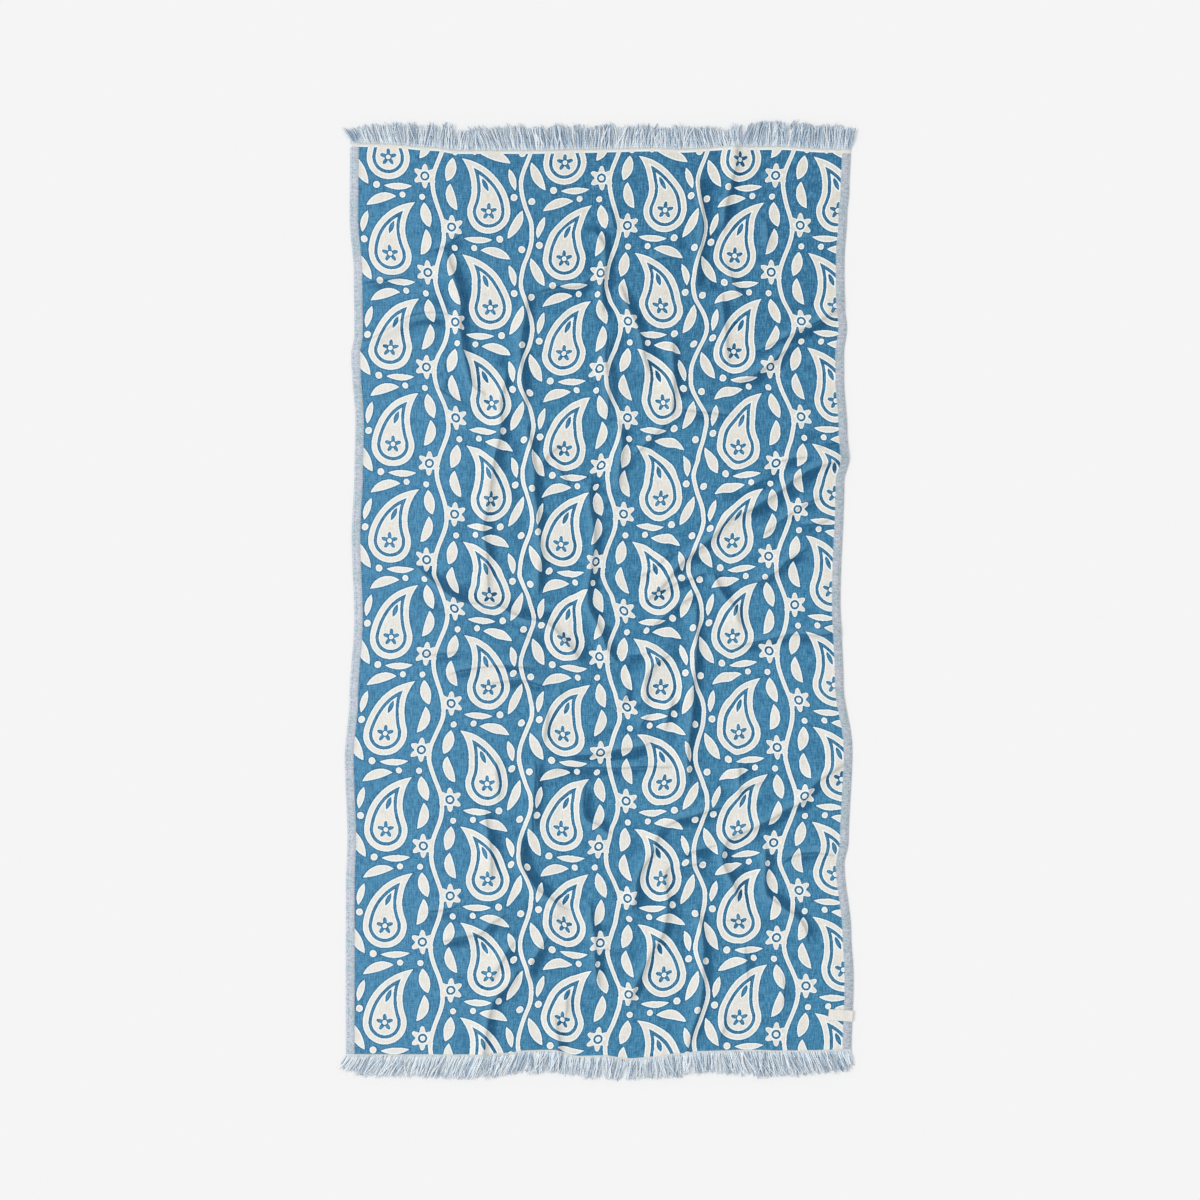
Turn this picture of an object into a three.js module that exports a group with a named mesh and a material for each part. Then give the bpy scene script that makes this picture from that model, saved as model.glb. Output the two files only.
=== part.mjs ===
// A flat-woven cotton bath and beach towel, laid out face up in its own soft folds: one sheet of cloth with plain
// side bands and headings, a loose warp fringe at each end and one small woven label.
//
// Millimetres. +X runs across the towel, +Y along it to its upper end, +Z up. The origin is at the middle of the
// cut cloth, on the surface that the towel lies on.

import * as THREE from 'three';

// The cloth as it is cut, before it is laid out.
const CUT_WIDTH = 965;
const CUT_LENGTH = 1720;
const THICKNESS = 2;

// The sheet's faceting, in cells across and along it.
const CELLS_ACROSS = 30;
const CELLS_ALONG = 54;

// The fringe: warp ends in teeth that hold together for a few millimetres at the cloth.
const TEETH = 56;
const TOOTH_ROOT = 3;
const TOOTH_TIP_GAP = 3;
const TOOTH_UNEVENNESS = 1.5;
const FRINGE_THICKNESS = 1.6;
const FRINGE_SETTLE = 45;
// It fans out at the corners: sideways for each millimetre along, less and less towards the middle.
const FRINGE_FAN = 0.4;
const FRINGE_FAN_REACH = 32;

// The label, which lies over the right side band, a little askew.
const LABEL = { width: 46, height: 21, thickness: 0.8, x: 462, y: -786, turn: -4.5 };

const GAP = 0.3;

// How far each side edge is drawn in from the straight cut by the folds that cross the cloth.
const LEFT_EDGE = [
  { y: 860, drawnIn: 14 },
  { y: 720, drawnIn: 13 },
  { y: 610, drawnIn: 21 },
  { y: 496, drawnIn: 22 },
  { y: 463, drawnIn: 16 },
  { y: 330, drawnIn: 24 },
  { y: 235, drawnIn: 22 },
  { y: 120, drawnIn: 17 },
  { y: -35, drawnIn: 22 },
  { y: -188, drawnIn: 13 },
  { y: -300, drawnIn: 4 },
  { y: -450, drawnIn: 9 },
  { y: -540, drawnIn: 6 },
  { y: -860, drawnIn: 6 },
];

const RIGHT_EDGE = [
  { y: 860, drawnIn: 1 },
  { y: 780, drawnIn: 4 },
  { y: 650, drawnIn: 14 },
  { y: 570, drawnIn: 15 },
  { y: 515, drawnIn: 9 },
  { y: 455, drawnIn: 15 },
  { y: 325, drawnIn: 9 },
  { y: 270, drawnIn: 5 },
  { y: 220, drawnIn: 14 },
  { y: 0, drawnIn: 21 },
  { y: -160, drawnIn: 15 },
  { y: -285, drawnIn: -2 },
  { y: -460, drawnIn: 5 },
  { y: -505, drawnIn: 13 },
  { y: -640, drawnIn: 0 },
  { y: -720, drawnIn: -4 },
  { y: -860, drawnIn: 0 },
];

// How far each end of the cloth lies beyond the straight cut, and how far the fringe reaches from there.
const UPPER_END = [
  { x: -482, beyond: 5, fringe: 32 },
  { x: -440, beyond: 4, fringe: 43 },
  { x: -310, beyond: -3, fringe: 47 },
  { x: -160, beyond: -6, fringe: 48 },
  { x: 60, beyond: -6, fringe: 50 },
  { x: 240, beyond: -1, fringe: 42 },
  { x: 290, beyond: 2, fringe: 48 },
  { x: 370, beyond: 2, fringe: 49 },
  { x: 440, beyond: -1, fringe: 46 },
  { x: 482, beyond: -3, fringe: 40 },
];

const LOWER_END = [
  { x: -482, beyond: -1, fringe: 34 },
  { x: -440, beyond: -1, fringe: 43 },
  { x: -250, beyond: -1, fringe: 49 },
  { x: -140, beyond: -7, fringe: 46 },
  { x: -50, beyond: 2, fringe: 40 },
  { x: 50, beyond: 7, fringe: 43 },
  { x: 150, beyond: 3, fringe: 42 },
  { x: 240, beyond: -5, fringe: 44 },
  { x: 320, beyond: -6, fringe: 50 },
  { x: 400, beyond: -7, fringe: 47 },
  { x: 482, beyond: -7, fringe: 36 },
];

// The folds that lift off the surface. Each runs along its line; left and right are how far its two slopes reach
// to the left and right hand of one who walks the line.
const FOLDS = [
  { line: [[268, 930], [245, 733], [255, 633], [281, 568]], height: 12, left: 30, right: 44 },
  { line: [[240, 570], [245, 477], [255, 440]], height: 9, left: 28, right: 38 },
  { line: [[200, 815], [204, 690], [192, 572]], height: 8, left: 28, right: 38 },
  { line: [[32, 750], [6, 672], [17, 500], [26, 353], [46, 300], [42, 225]], height: 11, left: 28, right: 40 },
  { line: [[57, 590], [82, 515], [93, 450]], height: 9, left: 28, right: 34 },
  { line: [[139, 510], [146, 420], [148, 340]], height: 8, left: 28, right: 34 },
  { line: [[470, 558], [386, 496], [251, 416]], height: 12, left: 30, right: 42 },
  { line: [[500, 262], [357, 207], [200, 100], [78, -12]], height: 14, left: 32, right: 44 },
  { line: [[-279, 655], [-256, 524], [-182, 306], [-207, 173], [-201, -10]], height: 11, left: 28, right: 40 },
  { line: [[-436, 478], [-374, 507], [-295, 533]], height: 6, left: 28, right: 34 },
  { line: [[-120, 588], [-141, 486], [-124, 344], [-108, 192], [-108, -12]], height: 9, left: 28, right: 38 },
  { line: [[-8, 225], [-2, 116], [-10, -17], [38, -118]], height: 10, left: 28, right: 36 },
  { line: [[-345, 72], [-250, 8], [-89, -40], [-32, -122]], height: 13, left: 34, right: 32 },
  { line: [[160, -96], [110, -125], [90, -196]], height: 9, left: 28, right: 32 },
  { line: [[202, 110], [190, -36], [180, -250], [192, -338]], height: 10, left: 28, right: 38 },
  { line: [[255, -78], [367, -70], [500, -68]], height: 6, left: 30, right: 28 },
  { line: [[-124, -302], [-13, -317], [82, -277], [156, -164]], height: 11, left: 34, right: 30 },
  { line: [[-122, -300], [-130, -440], [-120, -534], [-46, -570]], height: 11, left: 28, right: 36 },
  { line: [[-200, -260], [-186, -369], [-211, -420], [-193, -535]], height: 8, left: 28, right: 34 },
  { line: [[-6, -572], [0, -654], [11, -735]], height: 8, left: 28, right: 34 },
  { line: [[120, -430], [89, -521], [66, -582]], height: 11, left: 28, right: 36 },
  { line: [[140, -574], [110, -654], [60, -774]], height: 11, left: 28, right: 38 },
  { line: [[248, -448], [258, -500], [270, -555]], height: 12, left: 28, right: 40 },
  { line: [[315, -488], [332, -562], [394, -648]], height: 9, left: 28, right: 36 },
  { line: [[198, -592], [205, -692], [177, -840]], height: 9, left: 28, right: 36 },
  { line: [[380, -460], [430, -468], [500, -474]], height: 8, left: 30, right: 28 },
  { line: [[-127, -622], [-175, -673], [-218, -733]], height: 9, left: 28, right: 34 },
  { line: [[-169, -734], [-194, -787], [-211, -930]], height: 9, left: 28, right: 34 },
  { line: [[-84, -776], [-74, -830], [-62, -930]], height: 8, left: 28, right: 32 },
];
const FOLD_FADE = 60;
const FOLD_STEPS = 16;
const FOLD_BLEND = 3;

const clamp = THREE.MathUtils.clamp;
const half = { width: CUT_WIDTH / 2, length: CUT_LENGTH / 2 };

/** The value of a table's column at a place along its first column, on a smooth curve through the rows. */
function read(table, place, column, at) {
  const rows = [...table].sort((a, b) => a[place] - b[place]);
  const last = rows.length - 1;
  const spot = clamp(at, rows[0][place], rows[last][place]);
  const i = Math.min(rows.findLastIndex((row) => row[place] <= spot), last - 1);
  const share = (spot - rows[i][place]) / (rows[i + 1][place] - rows[i][place]);
  return THREE.MathUtils.lerp(rows[i][column], rows[i + 1][column], THREE.MathUtils.smoothstep(share, 0, 1));
}

const folds = FOLDS.map(({ line, ...fold }) => {
  const curve = new THREE.SplineCurve(line.map(([x, y]) => new THREE.Vector2(x, y)));
  return { ...fold, points: curve.getSpacedPoints(FOLD_STEPS), length: curve.getLength() };
});

/** The height of one fold over a spot on the surface: a rounded crest that fades out at both ends of its line. */
function foldHeight(fold, spot) {
  const nearest = { distance: Infinity, along: 0, side: 0 };
  for (let i = 0; i < FOLD_STEPS; i++) {
    const step = fold.points[i + 1].clone().sub(fold.points[i]);
    const reach = spot.clone().sub(fold.points[i]);
    const share = clamp(reach.dot(step) / step.lengthSq(), 0, 1);
    const distance = reach.distanceTo(step.clone().multiplyScalar(share));
    if (distance < nearest.distance)
      Object.assign(nearest, { distance, along: (i + share) / FOLD_STEPS, side: step.cross(reach) });
  }
  const slope = nearest.distance / (nearest.side > 0 ? fold.left : fold.right);
  const toEnd = Math.min(nearest.along, 1 - nearest.along) * fold.length;
  const crest = slope < 1 ? (1 - slope ** 2) ** 2 : 0;
  return fold.height * crest * THREE.MathUtils.smoothstep(toEnd, 0, FOLD_FADE);
}

/** How far the cloth stands off the surface at a spot: its folds, merged softly where they meet. */
function lift(x, y) {
  const spot = new THREE.Vector2(x, y);
  const sum = folds.reduce((total, fold) => total + foldHeight(fold, spot) ** FOLD_BLEND, 0);
  return sum ** (1 / FOLD_BLEND);
}

/** Where a point of the flat cut cloth, or of the fringe beyond its ends, lies on the surface. */
function spread(x, y) {
  const onCloth = clamp(y, -half.length, half.length);
  const past = y - onCloth;
  const left = read(LEFT_EDGE, 'y', 'drawnIn', onCloth) - half.width;
  const right = half.width - read(RIGHT_EDGE, 'y', 'drawnIn', onCloth);
  const upper = half.length + read(UPPER_END, 'x', 'beyond', x);
  const lower = -half.length - read(LOWER_END, 'x', 'beyond', x);
  const fan = FRINGE_FAN * Math.exp((Math.abs(x) - half.width) / FRINGE_FAN_REACH) * Math.sign(x);
  return new THREE.Vector2(
    THREE.MathUtils.lerp(left, right, x / CUT_WIDTH + 0.5) + fan * Math.abs(past),
    THREE.MathUtils.lerp(lower, upper, onCloth / CUT_LENGTH + 0.5) + past,
  );
}

/** Lifts every vertex of a geometry, already in place over the surface, onto the folds; a fringe settles from them. */
function folded(geometry) {
  const position = geometry.getAttribute('position');
  for (let i = 0; i < position.count; i++) {
    const [x, y, z] = [position.getX(i), position.getY(i), position.getZ(i)];
    const end = y > 0 ? UPPER_END : LOWER_END;
    const past = Math.abs(y) - half.length - read(end, 'x', 'beyond', x);
    position.setZ(i, z + lift(x, y) * (1 - clamp(past / FRINGE_SETTLE, 0, 1)) ** 2);
  }
  geometry.computeVertexNormals();
  return geometry;
}

function clothGeometry() {
  const sheet = new THREE.BoxGeometry(CUT_WIDTH, CUT_LENGTH, THICKNESS, CELLS_ACROSS, CELLS_ALONG, 1);
  sheet.translate(0, 0, THICKNESS / 2);
  const position = sheet.getAttribute('position');
  for (let i = 0; i < position.count; i++) {
    const { x, y } = spread(position.getX(i), position.getY(i));
    position.setXY(i, x, y);
  }
  return folded(sheet);
}

/** One fringe as a comb, whose back has a corner at each column of the cloth, so that the two edges keep step. */
function fringeGeometry(end, side) {
  const pitch = CUT_WIDTH / TEETH;
  const back = half.length + GAP;
  const root = back + TOOTH_ROOT;
  const halfTip = (pitch - TOOTH_TIP_GAP) / 2;
  const outline = [];
  for (let i = 0; i <= CELLS_ACROSS; i++) outline.push([(i / CELLS_ACROSS) * CUT_WIDTH - half.width, back]);
  outline.push([half.width, root]);
  for (let tooth = TEETH; tooth > 0; tooth--) {
    const middle = (tooth - 0.5) * pitch - half.width;
    const length = read(end, 'x', 'fringe', middle) + TOOTH_UNEVENNESS * Math.sin(tooth * tooth);
    const tip = half.length + length;
    outline.push([middle + halfTip, tip], [middle - halfTip, tip], [middle - pitch / 2, root]);
  }
  const comb = new THREE.Shape(outline.map(([x, y]) => spread(x, y * side)));
  return folded(new THREE.ExtrudeGeometry(comb, { depth: FRINGE_THICKNESS, bevelEnabled: false }));
}

function piece(name, geometry, look) {
  const mesh = new THREE.Mesh(geometry, new THREE.MeshStandardMaterial({ metalness: 0, ...look }));
  mesh.name = name;
  return mesh;
}

function label() {
  const { width, height, thickness, x, y, turn } = LABEL;
  const mesh = piece('label', new THREE.BoxGeometry(width, height, thickness), { color: 0xe9e5da, roughness: 0.8 });
  mesh.position.set(x, y, THICKNESS + GAP + thickness / 2);
  mesh.rotation.z = THREE.MathUtils.degToRad(turn);
  return mesh;
}

const towel = new THREE.Group();
towel.add(
  piece('cloth', clothGeometry(), { color: 0x4a80a4, roughness: 0.95 }),
  piece('fringe_top', fringeGeometry(UPPER_END, 1), { color: 0xb9c6d6, roughness: 0.95 }),
  piece('fringe_bottom', fringeGeometry(LOWER_END, -1), { color: 0xb9c6d6, roughness: 0.95 }),
  label(),
);

export default towel;
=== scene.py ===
"""A flat-woven turkish towel, laid out face up in its own soft folds on a pale floor.

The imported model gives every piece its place. This script makes the towel's looks around it: the woven cloth
with its side bands and headings, the two fringes of plied yarn, the sewing of the bands and the bare label.
All sizes are metres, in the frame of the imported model: +X across the towel, +Y to its upper end, +Z up.
"""

from __future__ import annotations

import json
import logging
import math
from collections.abc import Iterator
from dataclasses import dataclass
from enum import Enum
from functools import reduce
from operator import add

import bmesh
import bpy
import numpy as np
from bpy.types import Material, Mesh, Modifier, Node, NodeSocket, NodeTree, Object
from mathutils import Matrix, Vector

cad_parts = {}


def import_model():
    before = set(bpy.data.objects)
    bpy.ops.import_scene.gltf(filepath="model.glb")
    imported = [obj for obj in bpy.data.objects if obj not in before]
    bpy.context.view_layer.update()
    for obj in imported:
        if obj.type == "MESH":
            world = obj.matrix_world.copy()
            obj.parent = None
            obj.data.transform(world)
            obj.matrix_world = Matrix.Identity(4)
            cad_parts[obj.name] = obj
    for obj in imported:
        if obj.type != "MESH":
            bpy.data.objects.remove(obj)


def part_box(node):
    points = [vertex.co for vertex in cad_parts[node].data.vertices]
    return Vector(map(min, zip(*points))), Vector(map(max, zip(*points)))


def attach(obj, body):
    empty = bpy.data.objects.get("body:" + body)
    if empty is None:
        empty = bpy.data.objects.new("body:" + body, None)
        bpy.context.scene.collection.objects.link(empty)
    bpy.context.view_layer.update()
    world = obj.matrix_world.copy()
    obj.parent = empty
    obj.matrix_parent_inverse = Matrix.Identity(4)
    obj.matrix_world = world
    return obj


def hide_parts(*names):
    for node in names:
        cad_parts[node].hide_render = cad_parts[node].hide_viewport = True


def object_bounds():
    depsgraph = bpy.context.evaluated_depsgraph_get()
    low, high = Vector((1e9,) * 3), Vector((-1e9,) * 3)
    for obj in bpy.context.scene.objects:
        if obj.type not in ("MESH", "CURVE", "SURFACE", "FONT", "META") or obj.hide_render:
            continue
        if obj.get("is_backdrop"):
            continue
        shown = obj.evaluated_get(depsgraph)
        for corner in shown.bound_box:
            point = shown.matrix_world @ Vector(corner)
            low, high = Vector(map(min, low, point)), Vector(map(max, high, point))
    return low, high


LOG = logging.getLogger("towel")
ROOT = "root"

Array = np.ndarray
Place = tuple[float, float]
Spot = tuple[float, float, float]
Colour = tuple[float, float, float, float]


# ---- How the towel lies ----


def eased(share: Array) -> Array:
    """Turns an even rise from 0 to 1 into one that starts and ends level."""
    return share * share * (3 - 2 * share)


def blended(grid: Array, i: Array, j: Array, s: Array, t: Array) -> Array:
    """Reads a grid between its points. Past its last row or column it starts again.

    Args:
        grid: a value for each point.
        i: the row before each place.
        j: the column before it.
        s: share of the way to the next row.
        t: share of the way to the next column.

    Returns:
        The values there.
    """
    rows, columns = grid.shape
    i, j, next_i, next_j = i % rows, j % columns, (i + 1) % rows, (j + 1) % columns
    near = grid[i, j] * (1 - s) + grid[next_i, j] * s
    far = grid[i, next_j] * (1 - s) + grid[next_i, next_j] * s
    return near * (1 - t) + far * t


@dataclass(frozen=True)
class Fold:
    """A fold that lifts off the surface.

    Args:
        line: places that its crest runs through, from one end to the other.
        height: how high its crest stands.
        left: reach of its slope to the left hand of one who walks the line.
        right: reach of its slope to the right hand.
    """

    line: tuple[Place, ...]
    height: float
    left: float = 0.011
    right: float = 0.036


class Profile:
    """A smooth curve through a few stations, level past its ends."""

    def __init__(self, *stations: Place) -> None:
        """Keeps the stations, each a place and the curve's value there, in order of place."""
        self.at, self.off = np.array(sorted(stations)).T

    def __call__(self, at: Array) -> Array:
        """Reads the curve.

        Args:
            at: places to read it at.

        Returns:
            Its values there.
        """
        row = np.clip(np.searchsorted(self.at, at) - 1, 0, len(self.at) - 2)
        share = np.clip((at - self.at[row]) / (self.at[row + 1] - self.at[row]), 0, 1)
        return self.off[row] + (self.off[row + 1] - self.off[row]) * eased(share)


class Drift:
    """Smooth seeded unevenness over the surface, from -1 to 1."""

    CELLS = 61

    def __init__(self, seed: int, across: float, along: float) -> None:
        """Draws the lattice.

        Args:
            seed: which unevenness it is.
            across: lattice spacing along X.
            along: lattice spacing along Y.
        """
        self.lattice = np.random.default_rng(seed).uniform(-1, 1, (self.CELLS, self.CELLS))
        self.across, self.along = across, along

    def __call__(self, x: Array, y: Array) -> Array:
        """Reads the unevenness.

        Args:
            x, y: places over the surface.

        Returns:
            The values there.
        """
        a, b = np.asarray(x) / self.across, np.asarray(y) / self.along
        i, j = np.floor(a).astype(int), np.floor(b).astype(int)
        return blended(self.lattice, i, j, eased(a - i), eased(b - j))


# The outline: places along each side or across each end, and how far it lies outside the straight cut there.
LEFT_SIDE = Profile(
    (0.860, -0.014), (0.720, -0.013), (0.610, -0.021), (0.496, -0.022), (0.463, -0.016), (0.330, -0.024),
    (0.235, -0.022), (0.120, -0.017), (-0.035, -0.022), (-0.188, -0.013), (-0.300, -0.004),
    (-0.450, -0.009), (-0.540, -0.006), (-0.860, -0.006),
)

RIGHT_SIDE = Profile(
    (0.860, -0.001), (0.780, -0.004), (0.735, -0.008), (0.650, -0.013), (0.565, -0.013), (0.520, -0.008),
    (0.470, -0.014), (0.420, -0.014), (0.325, -0.008), (0.266, -0.0045), (0.228, -0.0135), (0.000, -0.021),
    (-0.160, -0.015), (-0.285, 0.002), (-0.460, -0.005), (-0.505, -0.013), (-0.640, 0.000),
    (-0.720, 0.004), (-0.860, 0.000),
)

UPPER_END = Profile(
    (-0.482, 0.0100), (-0.420, 0.0090), (-0.323, 0.0020), (-0.276, -0.0040), (-0.130, -0.0040),
    (-0.040, -0.0020), (0.100, 0.0010), (0.155, -0.0015), (0.245, 0.0033), (0.342, 0.0040),
    (0.437, -0.0015), (0.482, -0.0030),
)

LOWER_END = Profile(
    (-0.482, 0.0030), (-0.250, 0.0035), (-0.180, 0.0010), (-0.133, -0.0045), (-0.086, -0.0060),
    (-0.038, 0.0060), (0.009, 0.0050), (0.057, 0.0106), (0.104, 0.0075), (0.152, 0.0010), (0.200, -0.0034),
    (0.294, -0.0058), (0.342, -0.0042), (0.390, -0.0045), (0.482, -0.0068),
)

FOLDS = (
    Fold(((0.264, 0.930), (0.262, 0.850), (0.252, 0.790), (0.242, 0.745), (0.237, 0.690)), 0.0105),
    Fold(((0.236, 0.655), (0.250, 0.620), (0.266, 0.585), (0.280, 0.555)), 0.0078, 0.014),
    Fold(((0.235, 0.600), (0.239, 0.545), (0.242, 0.490), (0.250, 0.440)), 0.0088),
    Fold(((0.188, 0.815), (0.198, 0.745), (0.200, 0.700), (0.191, 0.650), (0.187, 0.585)), 0.0095),
    Fold(((-0.014, 0.712), (0.000, 0.690), (0.013, 0.668), (0.014, 0.630), (0.009, 0.590), (0.010, 0.535)),
          0.0109),
    Fold(((0.020, 0.760), (0.027, 0.725), (0.038, 0.690)), 0.0093),
    Fold(((0.042, 0.610), (0.053, 0.565), (0.070, 0.530), (0.081, 0.500), (0.086, 0.455), (0.108, 0.415)),
          0.0100),
    Fold(((0.500, 0.578), (0.450, 0.553), (0.398, 0.524), (0.350, 0.500), (0.290, 0.472)), 0.0095, 0.015),
    Fold(((0.385, 0.492), (0.345, 0.470), (0.315, 0.445), (0.290, 0.428), (0.245, 0.418)), 0.0105, 0.012),
    Fold(((0.014, 0.520), (0.015, 0.450), (0.018, 0.400), (0.017, 0.340)), 0.0083, 0.015),
    Fold(((0.034, 0.355), (0.046, 0.315), (0.046, 0.280), (0.039, 0.245), (0.037, 0.225), (0.046, 0.195)),
          0.0095),
    Fold(((0.141, 0.510), (0.144, 0.450), (0.144, 0.400), (0.141, 0.338)), 0.0120, 0.009),
    Fold(((0.500, 0.275), (0.450, 0.264), (0.398, 0.246), (0.347, 0.211), (0.287, 0.176), (0.250, 0.158),
          (0.226, 0.132), (0.198, 0.108), (0.165, 0.080), (0.120, 0.030), (0.082, -0.012)), 0.0124, 0.012),
    Fold(((0.412, 0.112), (0.370, 0.086), (0.330, 0.053), (0.285, 0.028)), 0.0078),
    Fold(((-0.288, 0.675), (-0.283, 0.640), (-0.268, 0.600), (-0.261, 0.565), (-0.264, 0.525),
          (-0.254, 0.470), (-0.247, 0.440), (-0.236, 0.405), (-0.200, 0.382)), 0.0100),
    Fold(((-0.170, 0.450), (-0.182, 0.400), (-0.183, 0.350), (-0.187, 0.310), (-0.203, 0.220),
          (-0.212, 0.180), (-0.216, 0.140), (-0.213, 0.090), (-0.208, -0.006)), 0.0095),
    Fold(((-0.130, 0.600), (-0.135, 0.550), (-0.141, 0.510), (-0.146, 0.460), (-0.140, 0.400),
          (-0.132, 0.350)), 0.0090),
    Fold(((-0.132, 0.350), (-0.134, 0.318), (-0.124, 0.285), (-0.121, 0.240), (-0.123, 0.205),
          (-0.115, 0.160), (-0.111, 0.110), (-0.110, 0.060), (-0.112, 0.000)), 0.0105, 0.010),
    Fold(((-0.450, 0.482), (-0.400, 0.512), (-0.350, 0.537), (-0.300, 0.541), (-0.262, 0.528)), 0.0078,
          0.024, 0.014),
    Fold(((-0.010, 0.240), (-0.017, 0.200), (-0.014, 0.175), (-0.006, 0.140), (-0.007, 0.100),
          (-0.013, 0.060), (-0.018, 0.020), (-0.015, -0.015), (-0.003, -0.040), (0.008, -0.068),
          (0.022, -0.098), (0.050, -0.124)), 0.0113),
    Fold(((-0.350, 0.072), (-0.305, 0.028), (-0.270, 0.006), (-0.240, -0.008), (-0.200, -0.010),
          (-0.165, -0.026), (-0.130, -0.038), (-0.092, -0.048), (-0.070, -0.070), (-0.045, -0.100),
          (-0.028, -0.130)), 0.0119, 0.014),
    Fold(((0.190, 0.010), (0.186, -0.050), (0.187, -0.090), (0.183, -0.130), (0.178, -0.170),
          (0.178, -0.210), (0.174, -0.250), (0.170, -0.300), (0.174, -0.350)), 0.0105, 0.009),
    Fold(((0.215, 0.070), (0.226, 0.035), (0.240, 0.008), (0.258, -0.014), (0.270, -0.040),
          (0.290, -0.064)), 0.0095),
    Fold(((0.500, -0.062), (0.400, -0.060), (0.340, -0.066), (0.290, -0.076), (0.240, -0.086)), 0.0078,
          0.013),
    Fold(((0.148, -0.092), (0.110, -0.116), (0.095, -0.138), (0.089, -0.160), (0.094, -0.206)), 0.0109,
          0.011),
    Fold(((0.146, -0.170), (0.141, -0.195), (0.133, -0.218), (0.124, -0.258)), 0.0090),
    Fold(((0.115, -0.258), (0.080, -0.273), (0.040, -0.279), (-0.010, -0.289), (-0.070, -0.294)), 0.0083,
          0.013),
    Fold(((0.123, -0.420), (0.112, -0.450), (0.103, -0.480), (0.085, -0.506), (0.074, -0.535),
          (0.071, -0.560), (0.062, -0.595)), 0.0109),
    Fold(((0.250, -0.386), (0.195, -0.402), (0.150, -0.414), (0.114, -0.432)), 0.0088),
    Fold(((0.152, -0.490), (0.130, -0.512), (0.127, -0.540), (0.132, -0.570), (0.128, -0.600),
          (0.121, -0.632), (0.105, -0.655), (0.097, -0.677), (0.081, -0.706), (0.067, -0.737),
          (0.056, -0.775)), 0.0104),
    Fold(((0.256, -0.432), (0.240, -0.468), (0.237, -0.500), (0.248, -0.522), (0.258, -0.548),
          (0.263, -0.580)), 0.0118, 0.012),
    Fold(((0.490, -0.294), (0.440, -0.325), (0.410, -0.350), (0.390, -0.378), (0.350, -0.398),
          (0.315, -0.420), (0.280, -0.435), (0.235, -0.456), (0.190, -0.470), (0.150, -0.484)), 0.0095,
          0.011),
    Fold(((0.317, -0.450), (0.315, -0.500), (0.316, -0.545), (0.324, -0.563), (0.350, -0.582),
          (0.388, -0.614), (0.405, -0.660)), 0.0095),
    Fold(((0.186, -0.570), (0.194, -0.610), (0.200, -0.645), (0.200, -0.690), (0.200, -0.735),
          (0.193, -0.766), (0.183, -0.792), (0.174, -0.825), (0.165, -0.865)), 0.0095, 0.010),
    Fold(((-0.012, -0.560), (-0.012, -0.600), (-0.005, -0.645), (-0.004, -0.700), (0.004, -0.745)), 0.0088),
    Fold(((-0.192, -0.290), (-0.191, -0.350), (-0.194, -0.390)), 0.0078),
    Fold(((-0.214, -0.385), (-0.212, -0.420), (-0.205, -0.455), (-0.202, -0.490), (-0.204, -0.545)),
          0.0090),
    Fold(((-0.123, -0.290), (-0.122, -0.350), (-0.123, -0.400), (-0.126, -0.455)), 0.0078, 0.014),
    Fold(((-0.147, -0.438), (-0.147, -0.480), (-0.142, -0.505), (-0.134, -0.526), (-0.119, -0.545),
          (-0.098, -0.562), (-0.072, -0.580), (-0.045, -0.592)), 0.0114, 0.011),
    Fold(((-0.023, -0.335), (-0.028, -0.385), (-0.025, -0.412), (0.002, -0.429), (0.040, -0.452)), 0.0078),
    Fold(((-0.160, -0.585), (-0.195, -0.604), (-0.222, -0.627), (-0.262, -0.634), (-0.310, -0.646)), 0.0083,
          0.013),
    Fold(((-0.140, -0.685), (-0.165, -0.718), (-0.190, -0.748), (-0.204, -0.775), (-0.211, -0.810),
          (-0.218, -0.850), (-0.222, -0.930)), 0.0105),
    Fold(((-0.088, -0.630), (-0.107, -0.660), (-0.126, -0.690), (-0.128, -0.730)), 0.0088),
    Fold(((-0.088, -0.780), (-0.081, -0.815), (-0.075, -0.850), (-0.072, -0.930)), 0.0095, 0.012),
)

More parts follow.
